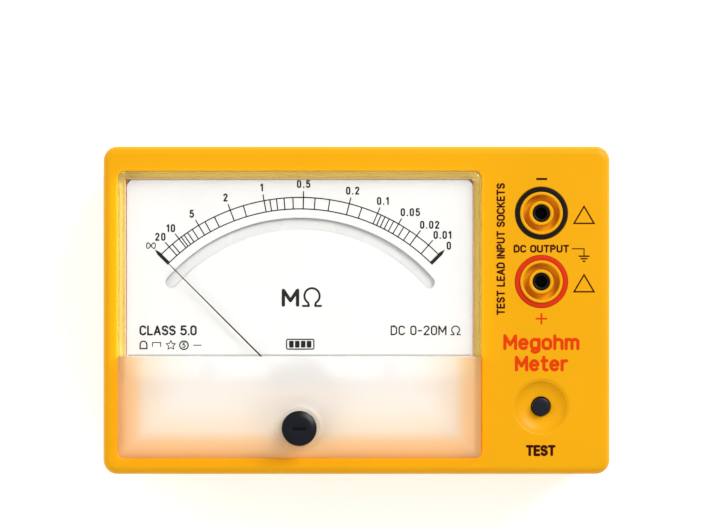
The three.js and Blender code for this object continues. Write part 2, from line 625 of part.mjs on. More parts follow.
function testButton() {
  const { radius, top, stem, collar, collarLow, collarHigh } = BUTTON;
  return turned([
    [0, STEM_LOW],
    [stem, STEM_LOW],
    [stem, collarLow],
    [collar, collarLow],
    [collar, collarHigh],
    [radius, collarHigh],
    [radius, top - 0.7],
    [radius - 0.5, top - 0.2],
    [0, top],
  ], 24);
}

function buttonSpring() {
  const [low, high] = [SWITCH_HIGH + 0.6, BUTTON.collarLow - 0.7];
  const [turns, radius, perTurn] = [4.5, 2.45, 8];
  const points = [];
  for (let i = 0; i <= turns * perTurn; i += 1) {
    const angle = (2 * Math.PI * i) / perTurn;
    const z = low + ((high - low) * i) / (turns * perTurn);
    points.push([radius * Math.cos(angle), radius * Math.sin(angle), z]);
  }
  return wire(points, 0.25, 4, turns * perTurn);
}

function dcInlet() {
  const along = (r, x0, x1, sides) => {
    const barrel = new THREE.CylinderGeometry(r, r, x1 - x0, sides).rotateZ(Math.PI / 2);
    return solid(barrel.translate((x0 + x1) / 2, INLET.y, INLET.z));
  };
  let body = box(60.5, 72.2, INLET.y - 4.5, INLET.y + 4.5, BOARD.high + GAP, 29);
  body = body.add(along(3.7, 72, 74.6, 20)).subtract(along(2.85, 63, 80, 16));
  return body.add(along(1, 62.5, 73.2, 10));
}

function addPanelParts(group) {
  piece("circuit_board", circuitBoard(), LAMINATE, group);
  BOARD_POSTS.forEach(([x, y], i) => {
    const fastener = piece(`board_screw_${i + 1}`, screw(2.3, 1.5, 0.9, 6.5), STEEL, group);
    fastener.position.set(x, y, BOARD.low - GAP - 1.5);
  });
  for (const [pole, y] of Object.entries(JACK_YS)) {
    piece(`jack_contact_${pole}`, jackContact(), NICKEL, group).position.set(PANEL_X, y, 0);
    const ring = tube(JACK.rim + 0.1, JACK.ring, FACE_Z - GAP, FACE_Z + 0.2, 0, 0, 28);
    const colour = pole === "positive" ? RED : BLACK;
    piece(`jack_ring_${pole}`, ring, colour, group).position.set(PANEL_X, y, 0);
  }
  const button = new THREE.Group();
  button.position.set(PANEL_X, BUTTON_Y, 0);
  group.add(button);
  piece("test_button", testButton(), BLACK, button);
  piece("button_spring", buttonSpring(), STEEL, button);
  const switchBody = box(-4.2, 4.2, -4.2, 4.2, BOARD.high + GAP, SWITCH_HIGH);
  piece("test_switch", switchBody.subtract(rod(2, 19.2, 30, 0, 0, 16)), BLACK, button);
  piece("dc_inlet", dcInlet(), BLACK, group);

  // Converter parts hang under the board.
  const under = BOARD.low - GAP;
  const winding = box(45.5, 59.5, -27, -15, 6.4, under - 1.6);
  const core = box(43.5, 61.5, -24.5, -17.5, 5.2, under);
  piece("transformer", core.add(winding), COPPER, group);
  piece("capacitor_1", rod(4, 5.4, under, 50, 4, 16), BLACK, group);
  piece("capacitor_2", rod(3.2, 6, under, 60, 12, 14), BLACK, group);
  piece("timer_chip", box(47, 57, 20, 27, 12.4, under), BLACK, group);
}

// ---- Internal leads ----
function addLeads(group) {
  const lead = (name, colour, points) => piece(name, wire(points, LEAD_RADIUS, 6, 12), colour, group);
  // From the side of the movement, under the meter base, to the board.
  for (const [name, colour, y] of [["meter_lead_red", RED, -29], ["meter_lead_black", BLACK, -26]]) {
    lead(name, colour, [
      [METER_X + 14.9, y + 1, 21],
      [METER_X + 22, y, 22.2],
      [32, y, 22.6],
      [40, y, 21.8],
      [41.6, y, BOARD.high + GAP],
    ]);
  }
  // From the battery strips through the bay's end wall to the underside of the board.
  const start = BAY.x + STRIP_HALF + GAP;
  const under = BOARD.low - GAP;
  lead("battery_lead_black", BLACK, [
    [start, STRIP_YS.low, CELL.z],
    [start + 2.5, STRIP_YS.low, CELL.z],
    [39.4, STRIP_YS.low, 12.4],
    [41.6, STRIP_YS.low, 14],
    [42, STRIP_YS.low, under],
  ]);
  lead("battery_lead_red", RED, [
    [start, STRIP_YS.high, CELL.z],
    [start + 2.5, STRIP_YS.high, CELL.z],
    [40.5, 43, 12.1],
    [43.6, 38.6, 13.2],
    [44, 36.5, under],
  ]);
}

// ---- Batteries ----
function cell() {
  const [r, half] = [CELL.radius, CELL.length / 2];
  return turned([
    [0, -half],
    [r, -half],
    [r, half - 1.3],
    [2.7, half - 1.3],
    [2.7, half],
    [0, half],
  ], 16);
}

// A laminate strip with a round contact pressed up in front of each cell.
function contactStrip(y, direction) {
  const face = y + direction * STRIP_THICK / 2;
  let strip = box(BAY.x - STRIP_HALF, BAY.x + STRIP_HALF, y - STRIP_THICK / 2, y + STRIP_THICK / 2, 6, 18);
  for (let i = 0; i < CELL.count; i += 1) {
    const boss = new THREE.CylinderGeometry(2.4, 2.4, 0.7, 10);
    strip = strip.add(solid(boss.translate(cellX(i), face, CELL.z)));
  }
  return strip;
}

function cellX(i) {
  return BAY.x + (i - (CELL.count - 1) / 2) * CELL.pitch;
}

function addBatteries(group) {
  for (let i = 0; i < CELL.count; i += 1) {
    const mesh = piece(`cell_${i + 1}`, cell(), CELL_WRAP, group);
    mesh.rotation.x = i % 2 ? Math.PI / 2 : -Math.PI / 2;
    mesh.position.set(cellX(i), CELL.y, CELL.z);
  }
  piece("contact_strip_low", contactStrip(STRIP_YS.low, 1), NICKEL, group);
  piece("contact_strip_high", contactStrip(STRIP_YS.high, -1), NICKEL, group);
}

// ---- Whole instrument ----
const tester = new THREE.Group();
tester.name = "insulation_tester";
addCase(tester);
const meter = new THREE.Group();
meter.position.set(METER_X, PIVOT_Y, 0);
tester.add(meter);
addMeterFrame(meter);
addMovement(meter);
addZeroCorrector(meter);
addPanelParts(tester);
addBatteries(tester);
addLeads(tester);

export default tester;
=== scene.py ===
import math

import bmesh
import bpy
from mathutils import Matrix, Vector
from mathutils.geometry import delaunay_2d_cdt


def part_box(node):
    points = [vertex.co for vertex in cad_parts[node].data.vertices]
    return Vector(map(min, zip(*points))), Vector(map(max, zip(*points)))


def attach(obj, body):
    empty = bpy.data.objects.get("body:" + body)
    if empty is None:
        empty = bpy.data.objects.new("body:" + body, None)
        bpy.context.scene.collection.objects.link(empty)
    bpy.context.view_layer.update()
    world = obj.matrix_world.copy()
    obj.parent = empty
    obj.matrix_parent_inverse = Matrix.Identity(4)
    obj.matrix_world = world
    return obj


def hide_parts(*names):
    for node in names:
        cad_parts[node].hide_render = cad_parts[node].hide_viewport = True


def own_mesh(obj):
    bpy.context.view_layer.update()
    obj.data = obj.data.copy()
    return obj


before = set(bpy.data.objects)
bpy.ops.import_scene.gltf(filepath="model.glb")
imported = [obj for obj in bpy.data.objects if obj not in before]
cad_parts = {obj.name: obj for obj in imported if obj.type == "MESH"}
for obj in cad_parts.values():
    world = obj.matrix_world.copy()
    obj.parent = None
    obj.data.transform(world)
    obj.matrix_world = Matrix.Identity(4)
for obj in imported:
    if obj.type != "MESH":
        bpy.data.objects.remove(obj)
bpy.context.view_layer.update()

MM = 0.001
UP = Vector((0, 0, 1))
SMOOTH_ANGLE = math.radians(32)


# ---- Places taken from the frame ----
def span(node):
    """The lowest and highest corner of a CAD node, in millimetres."""
    low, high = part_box(node)
    return Vector(low) / MM, Vector(high) / MM


def middle(node):
    low, high = span(node)
    return (low + high) / 2


def extent(node):
    low, high = span(node)
    return high - low


CASE = extent("front_case")
SPLIT = span("front_case")[0].z
BACK = span("rear_case")[0].z
JACK_LIFT = 0.7
FACE = span("front_case")[1].z - JACK_LIFT
WALL = 2.4
CORNER = 4.2
EDGE = 2.6
BACK_EDGE = 2.0
PANEL = FACE - WALL
FLOOR = BACK + WALL
GAP = 0.3

COVER_WALL = 1.8
COVER_LOW, COVER_HIGH = span("meter_cover")
COVER = COVER_HIGH - COVER_LOW
COVER_MID = middle("meter_cover")
CONE_LIFT = 0.7
APRON_STEP = 0.6
APRON_TOP = COVER_HIGH.z - CONE_LIFT
CLEAR_TOP = APRON_TOP - APRON_STEP
COVER_INSIDE = CLEAR_TOP - 2
APRON_Y = -13.6

PIVOT = middle("yoke_ring")
SCREW = middle("zero_screw")
SCREW_TOP = span("zero_screw")[1].z
DIAL_LOW, DIAL_HIGH = span("dial_plate")
DIAL_THICK = 0.8
DIAL_NOTCH = 10.8
DIAL_TOP = DIAL_LOW.z + DIAL_THICK
SCALE_HALF = math.radians(45)
MIRROR_INNER = 48.9
MIRROR_OUTER = 52.4
MIRROR_HALF = math.radians(49)

PANEL_X = middle("test_button").x
JACKS = {pole: middle(f"jack_ring_{pole}") for pole in ("negative", "positive")}
BUTTON = middle("test_button")


# ---- Outlines, as lists of points in millimetres ----
def arc(cx, cy, radius, start, end, steps):
    """Points along an arc, both ends included, angles in radians."""
    angles = [start + (end - start) * i / steps for i in range(steps + 1)]
    return [(cx + radius * math.cos(a), cy + radius * math.sin(a)) for a in angles]


def rectangle(w, h, r, x=0.0, y=0.0, steps=10):
    """A rectangle with round corners, anticlockwise."""
    half_w, half_h = w / 2 - r, h / 2 - r
    corners = [(half_w, -half_h), (half_w, half_h), (-half_w, half_h), (-half_w, -half_h)]
    points = []
    for i, (cx, cy) in enumerate(corners):
        start = (i - 1) * math.pi / 2
        points += arc(x + cx, y + cy, r, start, start + math.pi / 2, steps)
    return points


def circle(r, x=0.0, y=0.0, steps=96):
    return arc(x, y, r, 0, 2 * math.pi * (1 - 1 / steps), steps - 1)


def around(spot, steps=96):
    """The outline of a circle about a spot, as a function of its radius."""
    return lambda r: circle(r, spot.x, spot.y, steps)


def mirror_outline(grow):
    """The mirror's slot about the pivot, with round ends, grown by some millimetres."""
    inner, outer = MIRROR_INNER - grow, MIRROR_OUTER + grow
    mid, end = (inner + outer) / 2, (outer - inner) / 2
    right, left = math.pi / 2 - MIRROR_HALF, math.pi / 2 + MIRROR_HALF
    points = arc(PIVOT.x, PIVOT.y, outer, left, right, 72)
    ends = []
    for side, start in ((right, right), (left, left + math.pi)):
        x, y = PIVOT.x + mid * math.cos(side), PIVOT.y + mid * math.sin(side)
        ends.append(arc(x, y, end, start, start - math.pi, 8)[1:])
    return points + ends[0] + arc(PIVOT.x, PIVOT.y, inner, right, left, 72)[1:] + ends[1][:-1]


def softened(corners, steps=5):
    """A profile through (a, b, radius) corners, with an arc of that radius at each."""
    path = []
    for i, corner in enumerate(corners):
        here = Vector(corner[:2])
        radius = corner[2] if len(corner) > 2 else 0
        if radius == 0 or i in (0, len(corners) - 1):
            path.append(here)
            continue
        back = (Vector(corners[i - 1][:2]) - here).normalized()
        ahead = (Vector(corners[i + 1][:2]) - here).normalized()
        half = math.acos(max(-1, min(1, back.dot(ahead)))) / 2
        reach = radius / math.tan(half)
        centre = here + (back + ahead).normalized() * (radius / math.sin(half))
        first = here + back * reach - centre
        turn = math.pi - 2 * half
        if first.y * back.x - first.x * back.y < 0:
            turn = -turn
        for k in range(steps + 1):
            a = turn * k / steps
            c, s = math.cos(a), math.sin(a)
            path.append(centre + Vector((first.x * c - first.y * s, first.x * s + first.y * c)))
    cleaned = [path[0]]
    for point in path[1:]:
        if (point - cleaned[-1]).length > 1e-5:
            cleaned.append(point)
    return [(p.x, p.y) for p in cleaned]


# ---- Meshes built from rings of points ----
class Shell:
    """A closed mesh made of rings, walls between them and flat faces across them."""

    def __init__(self):
        self.bm = bmesh.new()

    def ring(self, points, z):
        return [self.bm.verts.new((x * MM, y * MM, z * MM)) for x, y in points]

    def wall(self, rings):
        for low, high in zip(rings, rings[1:]):
            for i, start in enumerate(low):
                after = (i + 1) % len(low)
                self.bm.faces.new((start, low[after], high[after], high[i]))
        return rings

    def loft(self, outline, profile):
        """Rings of outline(offset) at each (offset, height) of the profile, walled together."""
        return self.wall([self.ring(outline(offset), z) for offset, z in profile])

    def flat(self, *rings):
        """A flat face bounded by the first ring, with the others as holes."""
        edges = []
        for ring in rings:
            for a, b in zip(ring, ring[1:] + ring[:1]):
                edges.append(self.bm.edges.get((a, b)) or self.bm.edges.new((a, b)))
        bmesh.ops.triangle_fill(self.bm, use_beauty=True, edges=edges)

    def closed(self, rings):
        """Rings walled together, with one face across each end."""
        self.wall(rings)
        self.bm.faces.new(rings[0])
        self.bm.faces.new(rings[-1])
        return self

    def tube(self, stations, sides=12):
        """A closed tube of oval rings, each a centre and two half axes in millimetres."""
        angles = [2 * math.pi * i / sides for i in range(sides)]
        rings = []
        for centre, a, b in stations:
            spots = [centre + a * math.cos(t) + b * math.sin(t) for t in angles]
            rings.append([self.bm.verts.new(spot * MM) for spot in spots])
        return self.closed(rings)

    def turned(self, profile, spot=Vector((0, 0)), steps=96):
        """A body of revolution about the vertical through a spot."""
        return self.closed([self.ring(around(spot, steps)(r), z) for r, z in profile])

    def sleeve(self, profile, spot, steps=96):
        """A body of revolution with a hole down its middle, from a profile that comes back to its start."""
        rings = self.loft(around(spot, steps), profile)
        self.wall([rings[-1], rings[0]])
        return self

    def prism(self, outline, z0, z1):
        rings = self.loft(lambda _: outline, [(0, z0), (0, z1)])
        self.flat(rings[0])
        self.flat(rings[1])
        return self

    def keep_side(self, y, sign):
        """Cuts the mesh on a plane across Y and keeps the side that sign points to."""
        geom = self.bm.verts[:] + self.bm.edges[:] + self.bm.faces[:]
        cut = bmesh.ops.bisect_plane(
            self.bm, geom=geom, plane_co=(0, y * MM, 0), plane_no=(0, -sign, 0), clear_outer=True
        )
        edges = [g for g in cut["geom_cut"] if isinstance(g, bmesh.types.BMEdge)]
        bmesh.ops.triangle_fill(self.bm, use_beauty=True, edges=edges)
        return self

    def moved(self, angle, axis, shift):
        """Turned about an axis through the origin, then shifted by a vector in millimetres."""
        bmesh.ops.rotate(self.bm, verts=self.bm.verts[:], matrix=Matrix.Rotation(angle, 3, axis))
        bmesh.ops.translate(self.bm, verts=self.bm.verts[:], vec=shift * MM)
        return self

    def built(self, name):
        """Turns the mesh into an object. The shell can't be used again."""
        bmesh.ops.remove_doubles(self.bm, verts=self.bm.verts[:], dist=1e-7)
        bmesh.ops.recalc_face_normals(self.bm, faces=self.bm.faces[:])
        data = bpy.data.meshes.new(name)
        self.bm.to_mesh(data)
        self.bm.free()
        return add_object(name, data)


def add_object(name, data):
    obj = bpy.data.objects.new(name, data)
    bpy.context.scene.collection.objects.link(obj)
    return obj


def shade(obj):
    """Smooth shading that keeps real edges sharp and flats flat."""
    for polygon in obj.data.polygons:
        polygon.use_smooth = True
    obj.data.set_sharp_from_angle(angle=SMOOTH_ANGLE)
    weighted = obj.modifiers.new("weighted_normals", "WEIGHTED_NORMAL")
    weighted.keep_sharp = True


def settle(obj):
    """Replaces an object's mesh by what its modifiers make of it."""
    graph = bpy.context.evaluated_depsgraph_get()
    obj.data = bpy.data.meshes.new_from_object(obj.evaluated_get(graph))
    obj.modifiers.clear()


def carve(obj, cutter, operation="DIFFERENCE"):
    """Cuts, joins or intersects obj with a Shell, exactly, and drops the cutter."""
    tool = cutter.built("cutter")
    modifier = obj.modifiers.new("carve", "BOOLEAN")
    modifier.operation = operation
    modifier.solver = "EXACT"
    modifier.object = tool
    settle(obj)
    bpy.data.objects.remove(tool)


def break_edges(obj, width, angle=50, segments=2):
    """Takes the sharpness off every edge steeper than angle."""
    modifier = obj.modifiers.new("edges", "BEVEL")
    modifier.limit_method = "ANGLE"
    modifier.angle_limit = math.radians(angle)
    modifier.width = width * MM
    modifier.segments = segments
    modifier.harden_normals = False
    settle(obj)


def place(obj, body, look, slot, *replaced):
    """Gives a piece its material, its body and the CAD nodes that it stands for; the slot argument is not
    used.
    """
    obj.data.materials.clear()
    obj.data.materials.append(MATERIALS[look])
    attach(obj, body)
    if replaced:
        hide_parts(*replaced)
    return obj


def finish(obj, *placing):
    """Shades a piece and places it."""
    shade(obj)
    return place(obj, *placing)


def piece(name, shell, *placing):
    return finish(shell.built(name), *placing)


# ---- Materials ----
class Look:
    """A Principled material with its node tree, and short ways to add texture nodes to it."""

    def __init__(self, name, **values):
        self.material = bpy.data.materials.new(name)
        self.material.use_nodes = True
        self.nodes = self.material.node_tree.nodes
        self.shader = self.nodes["Principled BSDF"]
        for socket, value in values.items():
            self.shader.inputs[socket.replace("_", " ")].default_value = value
        self.place = self.nodes.new("ShaderNodeTexCoord").outputs["Object"]

    def join(self, source, target):
        self.material.node_tree.links.new(source, target)

    def node(self, kind, output, inputs, **settings):
        """Adds a node and returns one of its outputs. Each input is a value, or a socket to link it to."""
        node = self.nodes.new("ShaderNode" + kind)
        for setting, value in settings.items():
            setattr(node, setting, value)
        for socket, value in inputs.items():
            if isinstance(value, bpy.types.NodeSocket):
                self.join(value, node.inputs[socket])
            else:
                node.inputs[socket].default_value = value
        return node.outputs[output]

    def stretched(self, scale):
        return self.node("Mapping", "Vector", {"Vector": self.place, "Scale": scale})

    def along(self, axis):
        return self.node("SeparateXYZ", axis, {0: self.place})

    def noise(self, size, detail=3.0, roughness=0.55, vector=None):
        """Noise whose features are about size millimetres across."""
        return self.node("TexNoise", "Fac", {
            "Vector": vector or self.place,
            "Scale": 1 / (size * MM),
            "Detail": detail,
            "Roughness": roughness,
        })

    def ramp(self, source, stops):
        node = self.nodes.new("ShaderNodeValToRGB")
        elements = node.color_ramp.elements
        while len(elements) < len(stops):
            elements.new(0.5)
        for element, (position, colour) in zip(elements, stops):
            element.position = position
            element.color = (*colour, 1)
        self.join(source, node.inputs["Fac"])
        return node.outputs["Color"]

    def ranged(self, source, low, high, from_low=0.3, from_high=0.7):
        return self.node("MapRange", "Result", {
            "Value": source,
            "From Min": from_low,
            "From Max": from_high,
            "To Min": low,
            "To Max": high,
        })

    def least(self, a, b):
        return self.node("Math", "Value", {0: a, 1: b}, operation="MINIMUM")

    def finish(self, tone, stops, gloss, rough, height, depth, strength):
        """Colour ramped over tone, roughness ranged over gloss, and a bump depth millimetres deep."""
        normal = self.node("Bump", "Normal", {"Strength": strength, "Distance": depth * MM, "Height": height})
        self.join(self.ramp(tone, stops), self.shader.inputs["Base Color"])
        self.join(self.ranged(gloss, *rough), self.shader.inputs["Roughness"])
        self.join(normal, self.shader.inputs["Normal"])
        return self.material


def shifted(colour, factor):
    return tuple(min(1.0, c * factor) for c in colour)


def moulded(name, colour, rough, grain=0.25, grain_depth=0.012, spread=0.04, **values):
    """Moulded plastic: slow colour drift, a fine eroded grain and uneven gloss."""
    look = Look(name, **values)
    tones = [(0.3, shifted(colour, 1 - spread)), (0.7, shifted(colour, 1 + spread))]
    gloss, pits = look.noise(6, 4), look.noise(grain, 2)
    return look.finish(look.noise(38, 2), tones, gloss, (rough - 0.05, rough + 0.06), pits, grain_depth, 0.35)


def metal(name, colour, rough, stretch=(1, 1, 1), grain=0.15):
    """Worked metal: streaks along the stretch, a slight tarnish and uneven gloss."""
    look = Look(name, Metallic=1.0)
    streaks = look.noise(grain, 3, 0.6, look.stretched(stretch))
    tones = [(0.3, shifted(colour, 0.82)), (0.65, colour)]
    return look.finish(look.noise(4, 4), tones, streaks, (rough - 0.08, rough + 0.12), streaks, 0.006, 0.3)


def printed(name, colour, rough=0.5):
    """Screen-printed ink, a little uneven in density."""
    look = Look(name, Specular_IOR_Level=0.05)
    density = look.noise(0.5, 3)
    tones = [(0.3, colour), (0.75, shifted(colour, 1.35))]
    return look.finish(density, tones, density, (rough - 0.06, rough + 0.08), density, 0.004, 0.3)


def see_through(look, tint):
    """Lets lamps through a clear wall, by putting a Transparent shader in for shadow rays."""
    shadow = look.node("LightPath", "Is Shadow Ray", {})
    clear = look.node("BsdfTransparent", "BSDF", {"Color": (*tint, 1)})
    mixed = look.node("MixShader", "Shader", {"Fac": shadow, 1: look.shader.outputs["BSDF"], 2: clear})
    look.join(mixed, look.nodes["Material Output"].inputs["Surface"])
    return look.material


def clear_plastic():
    look = Look("clear_polycarbonate", Transmission_Weight=1, IOR=1.49, Specular_IOR_Level=0.2, Roughness=0)
    tones = look.ramp(look.noise(30, 2), [(0.3, (0.985, 0.985, 0.97)), (0.7, (1.0, 1.0, 0.99))])
    look.join(tones, look.shader.inputs["Base Color"])
    return see_through(look, (1.0, 1.0, 0.995))


# How far in from the cover's sides and bottom edge the painted glow reaches, in millimetres.
PAINTED_GLOW_REACH = 25.0


def frosted_plastic():
    """Etched clear plastic. Its colour has a painted peach glow along the sides and the bottom edge, standing
    in for the yellow case's light shining through it.
    """
    look = Look("frosted_polycarbonate", Transmission_Weight=0.5, IOR=1.45)
    edges = [("X", COVER_LOW.x, PAINTED_GLOW_REACH), ("X", COVER_HIGH.x, -PAINTED_GLOW_REACH), ("Y", COVER_LOW.y, PAINTED_GLOW_REACH)]
    left, right, bottom = [
        look.ranged(look.along(axis), 0, 1, edge * MM, (edge + reach) * MM) for axis, edge, reach in edges
    ]
    nearest = look.least(look.least(left, right), bottom)
    # Painted glow: peach at the edges fading to near white, for the case's yellow light seen through the
    # frost.
    look.finish(nearest, [
        (0.0, (0.84, 0.47, 0.12)),
        (0.07, (0.86, 0.6, 0.3)),
        (0.2, (0.88, 0.67, 0.42)),
        (0.32, (0.9, 0.8, 0.66)),
        (0.6, (0.92, 0.87, 0.81)),
        (1.0, (0.93, 0.915, 0.9)),
    ], look.noise(4, 3), (0.5, 0.58), look.noise(0.18, 2), 0.01, 0.4)
    return see_through(look, (0.86, 0.86, 0.85))


def scale_mirror():
    """Light grey satin strip in place of the silvered mirror: its flat grey paints the mirror's reflection,
    and painted shade darkens it towards its outer edge, where the slot's wall shades it.
    """
    look = Look("scale_mirror")
    hub = (PIVOT.x * MM, PIVOT.y * MM, DIAL_LOW.z * MM)
    from_hub = look.node("VectorMath", "Vector", {0: look.place, 1: hub}, operation="SUBTRACT")
    reach = look.node("VectorMath", "Value", {0: from_hub}, operation="LENGTH")
    across = look.ranged(reach, 0, 1, MIRROR_INNER * MM, MIRROR_OUTER * MM)
    # Painted reflection in the light grey, painted shade in the fall to dark grey at the outer edge.
    tones = [(0.0, (0.6, 0.6, 0.605)), (0.8, (0.58, 0.58, 0.585)), (1.0, (0.4, 0.4, 0.405))]
    return look.finish(across, tones, look.noise(9, 2), (0.24, 0.32), look.noise(6, 2), 0.001, 0.2)


def circuit_laminate():
    look = Look("circuit_laminate")
    weave = look.noise(0.9, 1)
    tones = [(0.35, (0.012, 0.09, 0.035)), (0.6, (0.03, 0.19, 0.07))]
    return look.finish(weave, tones, weave, (0.3, 0.42), weave, 0.01, 0.4)


WIRE_WAVES = 700


def winding(name, colour, axis_scale):
    """Enamelled wire laid side by side."""
    look = Look(name, Metallic=0.7)
    turns = {"Scale": WIRE_WAVES, "Distortion": 0.4, "Vector": look.stretched(axis_scale)}
    wave = look.node("TexWave", "Fac", turns)
    tones = [(0.1, shifted(colour, 0.45)), (0.7, colour)]
    return look.finish(wave, tones, look.noise(3, 3), (0.25, 0.4), wave, 0.12, 0.8)


def cell_jacket(button_high):
    """Foil jacket, blue with a plain coppery band at the button end."""
    look = Look("cell_jacket", Metallic=0.6, Coat_Weight=0.4)
    low, high = span("cell_1")
    along = look.ranged(look.along("Y"), 0, 1, low.y * MM, high.y * MM)
    blue, copper = (0.012, 0.05, 0.2), (0.55, 0.2, 0.06)
    stops = [(0.7, blue), (0.705, copper)] if button_high else [(0.295, copper), (0.3, blue)]
    return look.finish(along, stops, look.noise(5, 3), (0.25, 0.35), look.noise(1.2, 2), 0.01, 0.3)


YELLOW = (0.87, 0.4, 0.002)
MATERIALS = {
    "yellow": moulded("yellow_case_plastic", YELLOW, 0.38, spread=0.02, Specular_IOR_Level=0.2),
    "clear": clear_plastic(),
    "frosted": frosted_plastic(),
    "dial": moulded("dial_enamel", (0.635, 0.635, 0.633), 0.55, 0.1, 0.003, 0.01),
    "mirror": scale_mirror(),
    "black": moulded("black_plastic", (0.006, 0.008, 0.012), 0.36, spread=0.2, Specular_IOR_Level=0.35),
    "button": moulded("button_plastic", (0.008, 0.011, 0.02), 0.34, spread=0.2, Specular_IOR_Level=0.35),
    "black_ring": moulded("black_ring_plastic", (0.009, 0.005, 0.004), 0.42, spread=0.2,
                          Specular_IOR_Level=0.25),
    "red_ring": moulded("red_ring_plastic", (0.74, 0.028, 0.003), 0.4, spread=0.05, Specular_IOR_Level=0.25),
    "rubber": moulded("foot_rubber", (0.02, 0.02, 0.02), 0.8, 0.3, 0.02, 0.25),
    "natural": moulded("natural_moulding", (0.88, 0.87, 0.84), 0.5),
    # Pale cream-yellow that paints the light of the clear rim onto the shaded ledge below it.
    "pale_rim_paint": moulded("painted_rim_light", (1.0, 0.74, 0.17), 0.8, 0.4, 0.02, 0.03, Specular_IOR_Level=0.2),
    "pointer": printed("pointer_paint", (0.012, 0.012, 0.013), 0.45),
    "steel": metal("plated_steel", (0.56, 0.57, 0.58), 0.3),
    "iron": metal("cast_magnet", (0.16, 0.16, 0.17), 0.5, grain=0.5),
    "brass": metal("machined_brass", (0.72, 0.49, 0.17), 0.28),
    "nickel": metal("nickel_plate", (0.66, 0.63, 0.56), 0.22),
    "board": circuit_laminate(),
    "jacket_up": cell_jacket(True),
    "jacket_down": cell_jacket(False),
    "coil": winding("coil_winding", (0.5, 0.17, 0.05), (0, 0, 1)),
    "transformer": winding("transformer_winding", (0.45, 0.14, 0.04), (1, 0, 0)),
    "sleeve": moulded("capacitor_sleeve", (0.015, 0.018, 0.04), 0.35),
    "lead_red": moulded("red_lead", (0.55, 0.015, 0.008), 0.4),
    "lead_black": moulded("black_lead", (0.015, 0.015, 0.015), 0.4),
    "ink": printed("dial_ink", (0.003, 0.003, 0.003)),
    "maroon": printed("maroon_ink", (0.045, 0.004, 0.003)),
    "red_ink": printed("red_ink", (0.66, 0.045, 0.003)),
    # Grey for the painted shade line under the cover's joint.
    "step_shade_grey": printed("step_shade_grey", (0.3, 0.3, 0.31)),
}


# ---- Case ----
def case_outline(offset):
    return rectangle(CASE.x + 2 * offset, CASE.y + 2 * offset, max(CORNER + offset, 0.6))


def cover_outline(offset):
    w, h = COVER.x + 2 * offset, COVER.y + 2 * offset
    return rectangle(w, h, max(2 + offset, 0.5), COVER_MID.x, COVER_MID.y)


RING_SEAT = 7.85
RIM = 6.3
GROOVE = 5.4
POST = 3.6
BORE = 2.65
WELL_LOW = 28
GROOVE_FLOOR = 37.0
SEAT_DEPTH = 0.5


def jack_profile():
    """From the face, over the ring's seat, rim, groove, post and bore, back up to the panel's inside."""
    top = FACE + JACK_LIFT
    return softened([
        (RING_SEAT + 0.2, FACE), (RING_SEAT, FACE, 0.12), (RING_SEAT, FACE - SEAT_DEPTH),
        (RIM, FACE - SEAT_DEPTH), (RIM, top, 0.3), (GROOVE, top, 0.32), (GROOVE, GROOVE_FLOOR, 0.4),
        (POST, GROOVE_FLOOR, 0.4), (POST, top, 0.32), (BORE, top, 0.36), (BORE, WELL_LOW),
        (RING_SEAT + 0.05, WELL_LOW), (RING_SEAT + 0.05, PANEL),
    ])


DISH_RADIUS = 7.9
DISH_DEPTH = 2.0
DISH_FLOOR = 3.6
BUTTON_HOLE = 2.92
COLLAR_SEAT = 34.2
COLLAR_WELL = 9


def dish_profile():
    """A finger dish of one round curve, with the button's hole in its floor."""
    reach = DISH_RADIUS - DISH_FLOOR
    curve = (reach**2 + DISH_DEPTH**2) / (2 * DISH_DEPTH)
    steps = 14
    end = math.asin(reach / curve)
    slope = []
    for i in range(steps, -1, -1):
        a = end * i / steps
        slope.append((DISH_FLOOR + curve * math.sin(a), FACE - DISH_DEPTH + curve * (1 - math.cos(a))))
    lip = [(DISH_RADIUS + 0.9, FACE), (DISH_RADIUS + 0.35, FACE - 0.06), (DISH_RADIUS + 0.1, FACE - 0.16)]
    slope[0] = (DISH_RADIUS - 0.1, FACE - 0.3)
    hole = softened([
        (DISH_FLOOR - 0.1, FACE - DISH_DEPTH), (BUTTON_HOLE, FACE - DISH_DEPTH, 0.2),
        (BUTTON_HOLE, COLLAR_SEAT), (COLLAR_WELL, COLLAR_SEAT), (COLLAR_WELL, PANEL),
    ])
    return lip + slope + hole


LEDGE_LOW = 31.3
LEDGE_HIGH = 33.3
LEDGE_SIDE = 2.3
LEDGE_APRON = 5.4
LEDGE_CORNER = 1.4
WELL_WALL = 1.6


def ledge_opening():
    """The opening inside the cover's ledge, narrower round the frosted apron."""
    low, high = COVER_LOW - Vector((GAP, GAP, 0)), COVER_HIGH + Vector((GAP, GAP, 0))
    bottom = low.y + LEDGE_APRON
    right = [(high.x - LEDGE_APRON, bottom), (high.x - LEDGE_APRON, APRON_Y),
             (high.x - LEDGE_SIDE, APRON_Y), (high.x - LEDGE_SIDE, high.y - LEDGE_SIDE)]
    left = [(low.x + LEDGE_SIDE, high.y - LEDGE_SIDE), (low.x + LEDGE_SIDE, APRON_Y),
            (low.x + LEDGE_APRON, APRON_Y), (low.x + LEDGE_APRON, bottom)]
    start = (COVER_MID.x, bottom)
    return softened([start, *[(x, y, LEDGE_CORNER) for x, y in right + left], start])[:-1]


# The rebate in the front case and the rear case's tongue that goes into it.
REBATE = 1.15
REBATE_RISE = 1.5
TONGUE_INSET = 1.45
TONGUE_RISE = 1.2
TONGUE_CORNER = 2.8
INLET_RADIUS = 4
INLET_Z = 24.4
INLET_FROM, INLET_TO = 60, 90


